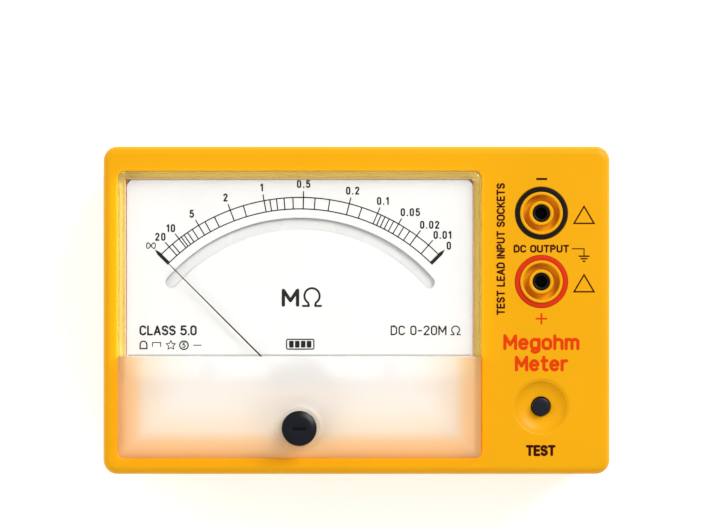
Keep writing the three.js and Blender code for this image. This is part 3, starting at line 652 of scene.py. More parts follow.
def front_case():
    shell = Shell()
    body = shell.loft(case_outline, softened([
        (-EDGE, FACE), (0, FACE, EDGE), (0, SPLIT, 0.3), (-REBATE, SPLIT), (-REBATE, SPLIT + REBATE_RISE),
        (-WALL, SPLIT + REBATE_RISE), (-WALL, PANEL),
    ], 10))
    window = shell.loft(cover_outline, softened([(GAP + 0.5, FACE), (GAP, FACE, 0.45), (GAP, LEDGE_HIGH)]))
    opening = shell.loft(lambda _: ledge_opening(), [(0, LEDGE_HIGH), (0, LEDGE_LOW)])
    well = shell.loft(cover_outline, [(GAP + WELL_WALL, LEDGE_LOW), (GAP + WELL_WALL, PANEL)])
    shell.flat(window[-1], opening[0])
    shell.flat(opening[-1], well[0])
    features = [shell.loft(around(jack), jack_profile()) for jack in JACKS.values()]
    features.append(shell.loft(around(BUTTON), dish_profile()))
    shell.flat(body[0], window[0], *[rings[0] for rings in features])
    shell.flat(body[-1], well[-1], *[rings[-1] for rings in features])
    obj = shell.built("front_shell")
    hole = Shell().turned([(INLET_RADIUS, INLET_FROM), (INLET_RADIUS, INLET_TO)])
    carve(obj, hole.moved(math.pi / 2, "Y", Vector((0, middle("dc_inlet").y, INLET_Z))))
    finish(obj, "case", "yellow", "case_shell", "front_case")


# The battery bay inside its walls. Its top wall reaches BAY_END.
BAY_X = (-56.6, 34.6)
BAY_Y = (-8.2, 45.6)
BAY_END = 46.5
BAY_ROOF = 19.3
BAY_WALL = 1.5
DOOR_LOW, DOOR_HIGH = span("battery_door")
DOOR_THICK = WALL - 0.2
RAIL = 1.0
RAIL_LOW, RAIL_HIGH = BACK + 1.4, BACK + 2.2
RUNNING = 0.25
BEYOND = 60
GRIP_LINES = 5
GRIP_TOP = 38
GRIP_PITCH = 2.4
GRIP_HALF = 12
CASE_SCREWS = [middle(f"case_screw_{i}") for i in range(1, 5)]
BOSS = 4.4
HEAD_BORE, HEAD_SEAT = 3.1, 12
SCREW_BORE, SCREW_END = 1.7, 25
FEET = [middle(f"foot_{i}") for i in range(1, 5)]
FOOT_SEAT = 5.3
FOOT_SINK = 0.8


def block(x0, x1, y0, y1, z0, z1, r=0.01):
    outline = rectangle(x1 - x0, y1 - y0, r, (x0 + x1) / 2, (y0 + y1) / 2, 4)
    return Shell().prism(outline, z0, z1)


def back_solid(name):
    shell = Shell()
    edge = [(-BACK_EDGE, BACK), (0, BACK, BACK_EDGE), (0, SPLIT, 0.3), (-1, SPLIT)]
    rings = shell.loft(case_outline, softened(edge, 8))
    shell.flat(rings[0])
    shell.flat(rings[-1])
    return shell.built(name)


def door_cutters(grow):
    """The door's plate and its two rails, grown by some millimetres and running out past the case."""
    low = DOOR_LOW.y - grow
    left, right = DOOR_LOW.x - grow, DOOR_HIGH.x + grow
    plate = block(left + RAIL, right - RAIL, low, BEYOND, -5, BACK + DOOR_THICK + grow)
    rails = block(left, right, low, BEYOND, RAIL_LOW - grow, RAIL_HIGH + grow)
    return plate, rails


def rear_case():
    obj = back_solid("rear_shell")
    tongue = rectangle(CASE.x - 2 * TONGUE_INSET, CASE.y - 2 * TONGUE_INSET, TONGUE_CORNER)
    carve(obj, Shell().prism(tongue, SPLIT - 2, SPLIT + TONGUE_RISE), "UNION")
    hollow = rectangle(CASE.x - 2 * WALL, CASE.y - 2 * WALL, 2)
    carve(obj, Shell().prism(hollow, FLOOR, SPLIT + 5))
    left, right, low = BAY_X[0] - BAY_WALL, BAY_X[1] + BAY_WALL, BAY_Y[0] - BAY_WALL
    carve(obj, block(left, right, low, BAY_END, BACK + 1, BAY_ROOF + BAY_WALL), "UNION")
    carve(obj, block(*BAY_X, *BAY_Y, 0, BAY_ROOF, 0.8))
    for cutter in door_cutters(RUNNING):
        carve(obj, cutter)
    bore = [(HEAD_BORE, 0), (HEAD_BORE, HEAD_SEAT), (SCREW_BORE, HEAD_SEAT), (SCREW_BORE, SCREW_END)]
    for screw in CASE_SCREWS:
        carve(obj, Shell().turned([(BOSS, FLOOR - 0.5), (BOSS, SPLIT)], screw, 48), "UNION")
        carve(obj, Shell().turned(bore, screw, 48))
    for foot in FEET:
        carve(obj, Shell().turned([(FOOT_SEAT, 0), (FOOT_SEAT, BACK + FOOT_SINK)], foot, 64))
    break_edges(obj, 0.18)
    finish(obj, "case", "yellow", "case_shell", "rear_case")


def battery_door():
    obj = back_solid("door_panel")
    plate, rails = door_cutters(0)
    plan = plate.built("door_plan")
    carve(plan, rails, "UNION")
    shell = Shell()
    shell.bm.from_mesh(plan.data)
    bpy.data.objects.remove(plan)
    carve(obj, shell, "INTERSECT")
    centre = (DOOR_LOW.x + DOOR_HIGH.x) / 2
    for i in range(GRIP_LINES):
        y = GRIP_TOP - i * GRIP_PITCH
        line = block(centre - GRIP_HALF, centre + GRIP_HALF, y - 0.5, y + 0.5, 0, BACK + 0.6, 0.45)
        carve(obj, line)
    break_edges(obj, 0.15)
    finish(obj, "battery_door", "yellow", "case_shell", "battery_door")


def feet():
    profile = softened([(3.4, 0.25), (3.9, 0, 0.2), (4.6, 0, 0.5), (5, 2.0, 0.4), (5, BACK + 0.5)])
    for i, foot in enumerate(FEET, 1):
        piece(f"rubber_foot_{i}", Shell().turned(profile, foot), "case", "rubber", "foot_rubber", f"foot_{i}")


# ---- Meter cover ----
# The zero corrector's hole, and the low cone round it.
CORRECTOR_HOLE = 2.9
CONE_RIM = 6.2
CONE_FOOT = 7.2


def cover_profile(top):
    """The outside and the inside of the cover's wall, up to a flat top."""
    low = COVER_LOW.z
    outside = [(0, low), (0, top, 1.0), (-1.2, top)]
    inside = [(-COVER_WALL, low), (-COVER_WALL, COVER_INSIDE, 0.7), (-COVER_WALL - 1.6, COVER_INSIDE)]
    return softened(outside, 8), softened(inside, 6)


def cover_half(name, top, sign, look):
    """The cover above (sign 1) or below (sign -1) the edge of the apron."""
    shell = Shell()
    outside, inside = cover_profile(top)
    outer = shell.loft(cover_outline, outside)
    inner = shell.loft(cover_outline, inside)
    shell.wall([outer[0], inner[0]])
    holes = [[], []]
    if sign < 0:
        cone = shell.loft(around(SCREW), softened([
            (CONE_FOOT + 0.5, top), (CONE_FOOT, top, 1.2), (CONE_RIM, top + CONE_LIFT, 0.5),
            (CORRECTOR_HOLE, top + CONE_LIFT, 0.2), (CORRECTOR_HOLE, COVER_INSIDE),
        ]))
        holes = [[cone[0]], [cone[-1]]]
    shell.flat(outer[-1], *holes[0])
    shell.flat(inner[-1], *holes[1])
    shell.keep_side(APRON_Y + sign * 0.03, sign)
    obj = shell.built(name)
    break_edges(obj, 0.15, 60)
    finish(obj, "case", look, "clear_cover", "meter_cover")


def rim_light_strip():
    """Pale strip on the ledge, under the rim of the clear half. Its pale colour is painted light: it lifts
    the shaded ledge to the brightness of the lit clear rim.
    """
    shell = Shell()
    z0, z1 = LEDGE_HIGH + 0.04, COVER_LOW.z - 0.04
    inner = shell.loft(cover_outline, [(-COVER_WALL, z0), (-COVER_WALL, z1)])
    outer = shell.loft(cover_outline, [(0, z1), (0, z0)])
    shell.wall([inner[-1], outer[0]])
    shell.wall([outer[-1], inner[0]])
    shell.keep_side(APRON_Y + 0.1, 1)
    piece("rim_light_strip", shell, "case", "pale_rim_paint", "case_shell")


# ---- Dial ----
PLATE_CORNER = 2.4


def dial_outline():
    """The plate's outline, with a notch round the movement in its lower edge."""
    x0, x1, y0, y1, r = DIAL_LOW.x, DIAL_HIGH.x, DIAL_LOW.y, DIAL_HIGH.y, PLATE_CORNER
    rise = math.asin((y0 - PIVOT.y) / DIAL_NOTCH)
    points = arc(PIVOT.x, PIVOT.y, DIAL_NOTCH, math.pi - rise, rise, 40)
    corners = [(x1 - r, y0 + r), (x1 - r, y1 - r), (x0 + r, y1 - r), (x0 + r, y0 + r)]
    for i, (x, y) in enumerate(corners, -1):
        points += arc(x, y, r, i * math.pi / 2, (i + 1) * math.pi / 2, 8)
    return points


STOP_ANGLE = SCALE_HALF + math.radians(8.5)
STOP_REACH = 16
STOP_RISE = 2.6
STOP_RADIUS = 0.4


def dial_plate():
    shell = Shell()
    low, top = DIAL_LOW.z, DIAL_TOP
    sides = shell.loft(lambda _: dial_outline(), [(0, low), (0, top)])
    holes = [shell.loft(mirror_outline, softened([(0.35, top), (0, top, 0.3), (0, low)]))]
    for side in ("left", "right"):
        holes.append(shell.loft(around(middle(f"dial_screw_{side}"), 32), [(1.5, top), (1.5, low)]))
    shell.flat(sides[-1], *[rings[0] for rings in holes])
    shell.flat(sides[0], *[rings[-1] for rings in holes])
    piece("dial_face", shell, "case", "dial", "dial_white", "dial_plate")
    strip = Shell().prism(mirror_outline(1), low - 1.1, low - GAP)
    piece("mirror_band", strip, "case", "mirror", "mirror_band", "mirror_strip")
    peg = softened([(STOP_RADIUS, top), (STOP_RADIUS, top + STOP_RISE, 0.15), (0.1, top + STOP_RISE)])
    for side, sign in (("left", -1), ("right", 1)):
        spot = Vector(dial_point(STOP_REACH, sign * STOP_ANGLE))
        piece(f"pointer_stop_{side}", Shell().turned(peg, spot, 24), "case", "steel", "dial_white")


# ---- Printing ----
INK = 0.03
SHARP = math.radians(50)


def covers(shape, x, y):
    """Whether a flat shape covers a point."""
    odd = False
    for (ax, ay), (bx, by) in zip(shape, shape[1:] + shape[:1]):
        if (ay > y) != (by > y) and x < ax + (y - ay) * (bx - ax) / (by - ay):
            odd = not odd
    return odd


def prints(name, shapes, z=DIAL_TOP, look="ink", slot="pointer_black"):
    """Printed shapes a hair thick, joined where they overlap, as one closed piece."""
    shapes = [[tuple(p) for p in shape] for shape in shapes]
    points, loops = [], []
    for shape in shapes:
        loops.append(list(range(len(points), len(points) + len(shape))))
        points += [Vector(p) for p in shape]
    spots, _, triangles, *_ = delaunay_2d_cdt(points, [], loops, 0, 1e-4)
    boxes = []
    for shape in shapes:
        xs, ys = [p[0] for p in shape], [p[1] for p in shape]
        boxes.append((min(xs), max(xs), min(ys), max(ys), shape))
    kept = []
    for tri in triangles:
        x, y = sum((spots[i] for i in tri), Vector((0, 0))) / 3
        if any(x0 < x < x1 and y0 < y < y1 and covers(shape, x, y) for x0, x1, y0, y1, shape in boxes):
            kept.append(tri)
    edges = {(tri[i], tri[(i + 1) % 3]) for tri in kept for i in range(3)}
    shell = Shell()
    used = sorted({i for tri in kept for i in tri})
    low = dict(zip(used, shell.ring([spots[i] for i in used], z - INK / 3)))
    high = dict(zip(used, shell.ring([spots[i] for i in used], z + INK)))
    for a, b, c in kept:
        shell.bm.faces.new((high[a], high[b], high[c]))
        shell.bm.faces.new((low[c], low[b], low[a]))
    for a, b in edges:
        if (b, a) not in edges:
            shell.bm.faces.new((low[a], low[b], high[b], high[a]))
    place(shell.built(name), "case", look, slot)


def stroke(points, width, closed=False, rounded=False):
    """A line of some width along points, as the flat shapes that make it up."""
    spots = [Vector(p) for p in points]
    last = len(spots) - 1
    sides = []
    for i, here in enumerate(spots):
        back = here - spots[i - 1] if closed or i else spots[1] - here
        ahead = spots[(i + 1) % (last + 1)] - here if closed or i < last else back
        a, b = back.normalized(), ahead.normalized()
        mitre = Vector((-a.y - b.y, a.x + b.x)).normalized()
        reach = width / 2 / max(0.4, mitre.dot(Vector((-a.y, a.x))))
        sides.append((here + mitre * reach, here - mitre * reach))
    after = sides[1:] + sides[:1] if closed else sides[1:]
    shapes = [[right, right_on, left_on, left] for (left, right), (left_on, right_on) in zip(sides, after)]
    if rounded:
        shapes += [circle(width / 2, spot.x, spot.y, 12) for spot in (spots[0], spots[-1])]
    return shapes


def dial_point(radius, angle):
    """A point on the dial, angle clockwise from straight up."""
    return PIVOT.x + radius * math.sin(angle), PIVOT.y + radius * math.cos(angle)


def runs(points):
    """Points cut into runs at their sharp corners, so that no corner of a stroke spikes."""
    spots = [Vector(p) for p in points]
    parts, start = [], 0
    for i in range(1, len(spots) - 1):
        if (spots[i] - spots[i - 1]).angle(spots[i + 1] - spots[i], 0) > SHARP:
            parts.append(spots[start:i + 1])
            start = i
    return [*parts, spots[start:]]


MID_OHMS = 0.5
MID_RATIO = 0.955
LAW_LOW = 0.02
LAW_HIGH = 5
HIGH_POWER, LOW_POWER, END_POWER = 0.75, 0.68, 1.1


def deflection(megohms):
    """Pointer angle for a resistance, in radians clockwise from straight up.

    The scale follows one power law about its middle and a steeper one towards each end.
    """
    if megohms == math.inf:
        return -SCALE_HALF
    inner = min(max(megohms, LAW_LOW), LAW_HIGH)
    power = HIGH_POWER if megohms > MID_OHMS else LOW_POWER
    ratio = MID_RATIO * (inner / MID_OHMS) ** power * (megohms / inner) ** END_POWER
    return 2 * SCALE_HALF / (1 + ratio) - SCALE_HALF


LABELS = [math.inf, 20, 10, 5, 2, 1, 0.5, 0.2, 0.1, 0.05, 0.02, 0.01, 0]
MINOR_MARKS = [15, 9, 8, 7, 6, 4, 3, 1.5, *[i / 10 for i in (9, 8, 7, 6, 4, 3)], 0.15,
               *[i / 100 for i in (9, 8, 7, 6, 4, 3)]]
LINE = 0.34
HEAVY = 1.05
ARC_INNER = 55.1
ARC_OUTER = 58.5
SHOULDER = 59.3
MAJOR_TIP = 60.4
LABEL_RADIUS = 62.5
LABEL_SHIFT = 1.5
DIGIT_HEIGHT = 2.4


def scale_lines():
    start, end = math.pi / 2 - SCALE_HALF, math.pi / 2 + SCALE_HALF
    shapes = []
    for radius in (ARC_INNER, ARC_OUTER):
        shapes += stroke(arc(PIVOT.x, PIVOT.y, radius, start, end, 90), LINE)
    for megohms in LABELS:
        angle = deflection(megohms)
        if abs(angle) < SCALE_HALF - 1e-6:
            shapes += stroke([dial_point(ARC_INNER, angle), dial_point(MAJOR_TIP, angle)], LINE)
            continue
        heavy = stroke([dial_point(ARC_INNER - LINE / 2, angle), dial_point(SHOULDER, angle)], HEAVY)[0]
        shapes.append([heavy[0], heavy[1], dial_point(MAJOR_TIP + 0.5, angle), *heavy[2:]])
    for megohms in MINOR_MARKS:
        angle = deflection(megohms)
        shapes += stroke([dial_point(ARC_INNER, angle), dial_point(ARC_OUTER, angle)], LINE)
    prints("dial_scale_lines", shapes)


# ---- Lettering: a narrow stroke alphabet, drawn in units of the capitals' height ----
def bow(cx, cy, rx, ry, start, end):
    """Points along part of an ellipse, angles in degrees."""
    steps = max(3, round(abs(end - start) / 20))
    angles = [math.radians(start + (end - start) * i / steps) for i in range(steps + 1)]
    return [(cx + rx * math.cos(a), cy + ry * math.sin(a)) for a in angles]


def oval(w, high):
    r = w / 2
    return bow(r, high - r, r, r, 0, 180) + bow(r, r, r, r, 180, 360) + [(w, high - r)]


def endless():
    """A sideways eight."""
    turns = [2 * math.pi * i / 32 for i in range(33)]
    return [(0.62 + 0.62 * math.cos(t), 0.5 + 0.8 * math.sin(t) * math.cos(t)) for t in turns]


GLYPHS = {
    " ": (0.12, []),
    ".": (0.0, [[(0, 0), (0, 0.02)]]),
    "-": (0.28, [[(0, 0.46), (0.28, 0.46)]]),
    "∞": (1.24, [endless()]),
    "0": (0.44, [oval(0.44, 1)]),
    "1": (0.2, [[(0, 0.82), (0.2, 1), (0.2, 0)]]),
    "2": (0.44, [bow(0.22, 0.77, 0.22, 0.23, 170, -35) + [(0, 0), (0.44, 0)]]),
    "5": (0.46, [[(0.42, 1), (0.06, 1), (0.03, 0.54)] + bow(0.21, 0.32, 0.25, 0.32, 128, -150)]),
    "A": (0.52, [[(0, 0), (0.26, 1), (0.52, 0)], [(0.1, 0.3), (0.42, 0.3)]]),
    "C": (0.48, [bow(0.24, 0.74, 0.24, 0.26, 15, 180) + bow(0.24, 0.26, 0.24, 0.26, 180, 345)]),
    "D": (0.48, [[(0, 0), (0, 1), (0.2, 1)] + bow(0.2, 0.7, 0.28, 0.3, 90, 0)
                 + bow(0.2, 0.3, 0.28, 0.3, 0, -90) + [(0, 0)]]),
    "E": (0.4, [[(0.4, 1), (0, 1), (0, 0), (0.4, 0)], [(0, 0.52), (0.36, 0.52)]]),
    "I": (0.0, [[(0, 0), (0, 1)]]),
    "K": (0.46, [[(0, 0), (0, 1)], [(0.44, 1), (0, 0.4)], [(0.14, 0.58), (0.46, 0)]]),
    "L": (0.38, [[(0, 1), (0, 0), (0.38, 0)]]),
    "M": (0.62, [[(0, 0), (0, 1), (0.31, 0.3), (0.62, 1), (0.62, 0)]]),
    "N": (0.5, [[(0, 0), (0, 1), (0.5, 0), (0.5, 1)]]),
    "O": (0.5, [oval(0.5, 1)]),
    "P": (0.46, [[(0, 0), (0, 1), (0.2, 1)] + bow(0.2, 0.73, 0.26, 0.27, 90, -90) + [(0, 0.46)]]),
    "S": (0.46, [bow(0.23, 0.76, 0.23, 0.24, 20, 270) + bow(0.23, 0.26, 0.23, 0.26, 90, -160)]),
    "T": (0.48, [[(0, 1), (0.48, 1)], [(0.24, 1), (0.24, 0)]]),
    "U": (0.48, [[(0, 1)] + bow(0.24, 0.24, 0.24, 0.24, 180, 360) + [(0.48, 1)]]),
    "Ω": (1.04, [[(0, 0), (0.34, 0)] + bow(0.52, 0.56, 0.44, 0.44, 240, -60) + [(0.7, 0), (1.04, 0)]]),
    "e": (0.44, [[(0.02, 0.38), (0.43, 0.38)] + bow(0.22, 0.36, 0.22, 0.36, 20, 315)]),
    "g": (0.44, [oval(0.44, 0.72), [(0.44, 0.72)] + bow(0.22, -0.06, 0.22, 0.22, 0, -150)]),
    "h": (0.42, [[(0, 1), (0, 0)], bow(0.21, 0.5, 0.21, 0.22, 180, 0) + [(0.42, 0)]]),
    "m": (0.68, [[(0, 0.72), (0, 0)], bow(0.17, 0.53, 0.17, 0.19, 180, 0) + [(0.34, 0)],
                 bow(0.51, 0.53, 0.17, 0.19, 180, 0) + [(0.68, 0)]]),
    "o": (0.44, [oval(0.44, 0.72)]),
    "r": (0.26, [[(0, 0.72), (0, 0)], bow(0.22, 0.46, 0.22, 0.26, 180, 75)]),
    "t": (0.3, [[(0.12, 1)] + bow(0.27, 0.15, 0.15, 0.15, 180, 285), [(0, 0.72), (0.3, 0.72)]]),
}


def word(text, height, weight, x, y, width=0, turn=0.0, gap=0.24):
    """Shapes of a word centred on x, y: capitals height tall, strokes weight wide, angle in degrees."""
    lines, at = [], 0.0
    for letter in text:
        advance, strokes = GLYPHS[letter]
        lines += [[(at + px, py) for px, py in line] for line in strokes]
        at += advance + gap
    at -= gap
    up = height - weight
    across = (width - weight) / at if width else up
    c, s = math.cos(math.radians(turn)), math.sin(math.radians(turn))
    shapes = []
    for line in lines:
        spots = []
        for px, py in line:
            u, v = (px - at / 2) * across, (py - 0.5) * up
            spots.append((x + u * c - v * s, y + u * s + v * c))
        for run in runs(spots):
            shapes += stroke(run, weight, rounded=True)
    return shapes


def words(rows):
    return [shape for row in rows for shape in word(*row)]


DIGIT_WEIGHT = 0.46
DIGIT_GAP = 0.47
SEAM_Y = APRON_Y + 0.25

# Words as text, height, stroke, x, y, width and turn.
DIAL_WORDS = [
    ("M", 5.4, 1.0, PIVOT.x - 2.8, 3.7, 5.2), ("Ω", 5.9, 0.62, PIVOT.x + 3.6, 3.9, 6.0),
    ("DC 0-20M", 2.9, 0.42, 18.4, -6, 16.6), ("Ω", 2.9, 0.36, 29.4, -6, 3.1),
    ("CLASS 5.0", 3.0, 0.55, -55.9, -6, 17.0),
]


def dial_numbers():
    shapes = []
    for megohms in LABELS:
        x, y = dial_point(LABEL_RADIUS, deflection(megohms))
        if megohms == math.inf:
            shapes += word("∞", DIGIT_HEIGHT, 0.3, x, y, 2.9)
            continue
        text = f"{megohms:g}"
        x += LABEL_SHIFT * max(0, len(text) - 3)
        shapes += word(text, DIGIT_HEIGHT, DIGIT_WEIGHT, x, y, gap=DIGIT_GAP)
    prints("dial_numbers", shapes)
    prints("dial_unit", words(DIAL_WORDS))
    # Painted shade: a thin grey line on the dial under the joint of the cover's halves, for the shade of the
    # step between them.
    seam = stroke([(DIAL_LOW.x + 0.5, SEAM_Y), (DIAL_HIGH.x - 0.5, SEAM_Y)], 0.4)
    prints("cover_step_shade_line", seam, DIAL_TOP, "step_shade_grey", "dial_white")


# ---- Legends on the case ----
def triangle(cx, cy, w, h):
    return [(cx - w / 2, cy - h / 2), (cx + w / 2, cy - h / 2), (cx, cy + h / 2)]


SIGN_GAP = 10.1
NOTE_X = 67.2
NOTE_LINE = 0.42
BETWEEN = (JACKS["negative"].y + JACKS["positive"].y) / 2 - 0.4
EARTH_Y = BETWEEN - 2.2
PLUS_Y = JACKS["positive"].y - SIGN_GAP - 0.85
PLUS = 1.65
DARK_WORDS = [
    ("TEST", 3.3, 0.78, PANEL_X - 0.2, -41.4, 8.8),
    ("DC OUTPUT", 2.3, 0.5, PANEL_X, BETWEEN, 16.4),
    ("TEST LEAD INPUT SOCKETS", 2.5, 0.5, 42.6, 18.1, 39, 90),
]
RED_WORDS = [("Megohm", 4.7, 0.95, PANEL_X, -9.4, 22.5), ("Meter", 4.7, 0.95, PANEL_X, -15.7, 15.7)]


def case_legends():
    minus_y = JACKS["negative"].y + SIGN_GAP
    dark = stroke([(PANEL_X - 1.5, minus_y), (PANEL_X + 1.7, minus_y)], 0.62)
    for jack in JACKS.values():
        dark += stroke(triangle(NOTE_X, jack.y - 0.5, 5.9, 5.0), NOTE_LINE, closed=True)
    dark += stroke([(63.6, BETWEEN), (NOTE_X, BETWEEN), (NOTE_X, EARTH_Y)], 0.3)
    for i, width in enumerate((3.2, 2.0, 0.8)):
        y = EARTH_Y - i * 0.75
        dark += stroke([(NOTE_X - width / 2, y), (NOTE_X + width / 2, y)], NOTE_LINE)
    prints("legend_dark", dark + words(DARK_WORDS), FACE, "maroon")
    red = stroke([(PANEL_X - PLUS, PLUS_Y), (PANEL_X + PLUS, PLUS_Y)], 0.5)
    red += stroke([(PANEL_X, PLUS_Y - PLUS), (PANEL_X, PLUS_Y + PLUS)], 0.5)
    prints("legend_red", red + words(RED_WORDS), FACE, "red_ink", "red_plastic")


# Marks along the foot of the dial, by the x of each one's middle.
MARK_Y = -10.4
DOME, BRACKET, STAR, DISC, DASH = -63.2, -59.3, -55.1, -51.2, -47.2
FINE, THICK = 0.26, 0.4
FRAME_X, FRAME_Y = PIVOT.x + 0.1, -10.1
BARS = 4
BAR_PITCH = 1.75


def dial_symbols():
    """Plain generic marks: a dome, a bracket, a star, a ringed number, a dash and a framed block of bars."""
    top, foot = MARK_Y + 0.8, MARK_Y - 1.0
    dome = [(DOME - 1, foot), *arc(DOME, MARK_Y + 0.2, 1.0, math.pi, 0, 12), (DOME + 1, foot)]
    left, right = BRACKET - 1.2, BRACKET + 1.2
    marks = stroke(dome, THICK, closed=True)
    marks += stroke([(left, foot + 0.5), (left, top), (right, top), (right, foot + 0.5)], FINE)
    marks += stroke([star_point(STAR, MARK_Y, i) for i in range(10)], FINE, closed=True)
    marks += stroke(circle(1.25, DISC, MARK_Y, 28), THICK, closed=True)
    marks += word("5", 1.7, 0.3, DISC, MARK_Y)
    marks += stroke([(DASH - 1.2, MARK_Y), (DASH + 1.2, MARK_Y)], FINE)
    marks += stroke(rectangle(8.1, 2.9, 0.4, FRAME_X, FRAME_Y, 4), 0.36, closed=True)
    for i in range(BARS):
        marks.append(rectangle(1.35, 2.0, 0.2, FRAME_X + (i - (BARS - 1) / 2) * BAR_PITCH, FRAME_Y, 3))
    prints("dial_symbols", marks)


def star_point(x, y, i):
    radius = 1.4 if i % 2 else 0.7
    angle = math.pi / 2 + (i - 1) * math.pi / 5
    return x + radius * math.cos(angle), y + radius * math.sin(angle)


# ---- Moving and fitted pieces ----
def jack_rings():
    for pole, colour in (("negative", "black"), ("positive", "red")):
        node = f"jack_ring_{pole}"
        low, high = span(node)
        outer = (high.x - low.x) / 2
        ring = Shell().sleeve(softened([
            (RIM + 0.1, low.z),
            (RIM + 0.1, high.z, 0.12),
            (outer, high.z, 0.16),
            (outer, low.z),
        ]), JACKS[pole])
        piece(f"socket_ring_{pole}", ring, "case", f"{colour}_ring", f"{colour}_plastic", node)


SLEEVE_LOW = 31.0
SPRING_INNER, SPRING_OUTER, SPRING_FLANGE = 2.05, 2.4, 3.6
SLIT = 0.3


def socket_linings():
    """Black sleeve at the mouth of each socket, with the slit spring tube further down."""
    for pole, jack in JACKS.items():
        node = f"jack_contact_{pole}"
        low, high = span(node)
        sleeve = Shell().sleeve(softened([
            (1.75, SLEEVE_LOW),
            (1.75, high.z, 0.2),
            (2.45, high.z, 0.15),
            (2.45, SLEEVE_LOW),
        ]), jack, 48)
        piece(f"socket_sleeve_{pole}", sleeve, "case", "black", "black_plastic", node)
        spring = Shell().sleeve([
            (SPRING_INNER, low.z), (SPRING_INNER, SLEEVE_LOW - GAP), (SPRING_OUTER, SLEEVE_LOW - GAP),
            (SPRING_OUTER, low.z + 1), (SPRING_FLANGE, low.z + 1), (SPRING_FLANGE, low.z),
        ], jack, 48).built(f"socket_spring_{pole}")
        slit = block(jack.x - SLIT, jack.x + SLIT, jack.y - 4, jack.y + 4, low.z + 2, SLEEVE_LOW + 2)
        carve(spring, slit)
        finish(spring, "case", "nickel", "contact_nickel", node)


KNOB_RADIUS = 5.15
KNOB_LOW = APRON_TOP + CONE_LIFT + GAP
KNOB_SLOT = (4.2, 0.9)
STEM = 2.5
ECCENTRIC = 1.0
ECCENTRIC_RADIUS = 0.6


def zero_corrector():
    obj = Shell().turned(softened([
        (STEM, COVER_INSIDE - 0.8), (STEM, KNOB_LOW), (KNOB_RADIUS, KNOB_LOW, 0.15),
        (KNOB_RADIUS, KNOB_LOW + 1.35, 0.45), (3.6, SCREW_TOP - 0.05, 3), (0.4, SCREW_TOP),
    ], 8), SCREW).built("zero_knob")
    along, across = KNOB_SLOT[0] / 2, KNOB_SLOT[1] / 2
    slot = block(SCREW.x - along, SCREW.x + along, SCREW.y - across, SCREW.y + across,
                 SCREW_TOP - 1, SCREW_TOP + 2, 0.4)
    carve(obj, slot)
    pin = [(ECCENTRIC_RADIUS, span("zero_screw")[0].z), (ECCENTRIC_RADIUS, COVER_INSIDE)]
    carve(obj, Shell().turned(pin, SCREW + Vector((0, ECCENTRIC, 0)), 32), "UNION")
    break_edges(obj, 0.1, 60)
    finish(obj, "zero_screw", "black", "black_plastic", "zero_screw")


BUTTON_STEM = 1.6
COLLAR = 4
COLLAR_LOW, COLLAR_HIGH = 32, 33.6
CAP = 2.62


def test_button():
    low, high = span("test_button")
    shell = Shell().turned(softened([
        (BUTTON_STEM, low.z), (BUTTON_STEM, COLLAR_LOW), (COLLAR, COLLAR_LOW, 0.15),
        (COLLAR, COLLAR_HIGH, 0.15), (CAP, COLLAR_HIGH), (CAP, high.z - 0.15, 0.5),
        (CAP / 2 - 0.01, high.z, 1.5), (0.2, high.z - 0.03),
    ], 8), BUTTON)
    piece("button_cap", shell, "test_button", "button", "black_plastic", "test_button")


COIL_WIRE = 0.25
COIL_TURNS = 4.5
COIL_STEPS = 32


def return_spring():
    """Coil spring under the button's collar."""
    low, high = span("button_spring")
    radius = (high.x - low.x) / 2 - COIL_WIRE
    steps = round(COIL_TURNS * COIL_STEPS)
    stations = []
    for i in range(steps + 1):
        turn = 2 * math.pi * i / COIL_STEPS
        rise = low.z + COIL_WIRE + (high.z - low.z - 2 * COIL_WIRE) * i / steps
        out = Vector((math.cos(turn), math.sin(turn), 0))
        stations.append((Vector((BUTTON.x, BUTTON.y, rise)) + out * radius, out * COIL_WIRE, UP * COIL_WIRE))
    obj = piece("return_spring", Shell().tube(stations), "case", "steel", "screw_steel", "button_spring")
    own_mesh(obj)


ARM_Z = 31.8
NEEDLE_REACH = 55.4
HUB = 1.8
SPINDLE = 0.75


def pointer_needle():
    """A drawn tube cranked up over the dial, tapering to its tip, on a hub with a tail."""
    low, high = span("pointer")
    blade = high.z - 0.2
    # Reach from the pivot, height, width and depth.
    stations = [
        (-9.3, ARM_Z, 0.5, 0.36), (7.0, ARM_Z, 0.5, 0.36), (9.0, blade, 0.5, 0.36), (30, blade, 0.42, 0.34),
        (NEEDLE_REACH - 2.5, blade, 0.3, 0.3), (NEEDLE_REACH, blade, 0.16, 0.2),
    ]
    along = Vector((-math.sin(SCALE_HALF), math.cos(SCALE_HALF), 0))
    across = Vector((math.cos(SCALE_HALF), math.sin(SCALE_HALF), 0))
    obj = Shell().tube([
        (Vector((PIVOT.x, PIVOT.y, z)) + along * reach, across * width / 2, UP * height / 2)
        for reach, z, width, height in stations
    ]).built("pointer_needle")
    carve(obj, Shell().turned([(HUB, low.z + 0.02), (HUB, low.z + 1)], PIVOT, 48), "UNION")
    carve(obj, Shell().turned([(SPINDLE, low.z - 2), (SPINDLE, low.z + 3)], PIVOT, 32))
    finish(obj, "pointer", "pointer", "pointer_black", "pointer")


CELL_NUB = 2.7
CELL_SHOULDER = 1.3


def cells():
    """Six cells, laid in turn one way and the other."""
    low, high = span("cell_1")
    half = (high.y - low.y) / 2
    radius = (high.x - low.x) / 2
    profile = softened([
        (4.2, -half + 0.35), (4.6, -half, 0.2), (radius, -half, 0.7), (radius, half - CELL_SHOULDER, 0.8),
        (CELL_NUB + 0.7, half - CELL_SHOULDER, 0.3), (CELL_NUB, half - CELL_SHOULDER),
        (CELL_NUB, half, 0.4), (0.5, half),
    ])
    for i in range(1, 7):
        turn, look = (-math.pi / 2, "jacket_up") if i % 2 else (math.pi / 2, "jacket_down")
        cell = Shell().turned(profile, steps=64).moved(turn, "X", middle(f"cell_{i}"))
        piece(f"battery_{i}", cell, "case", look, "cell_jacket", f"cell_{i}")


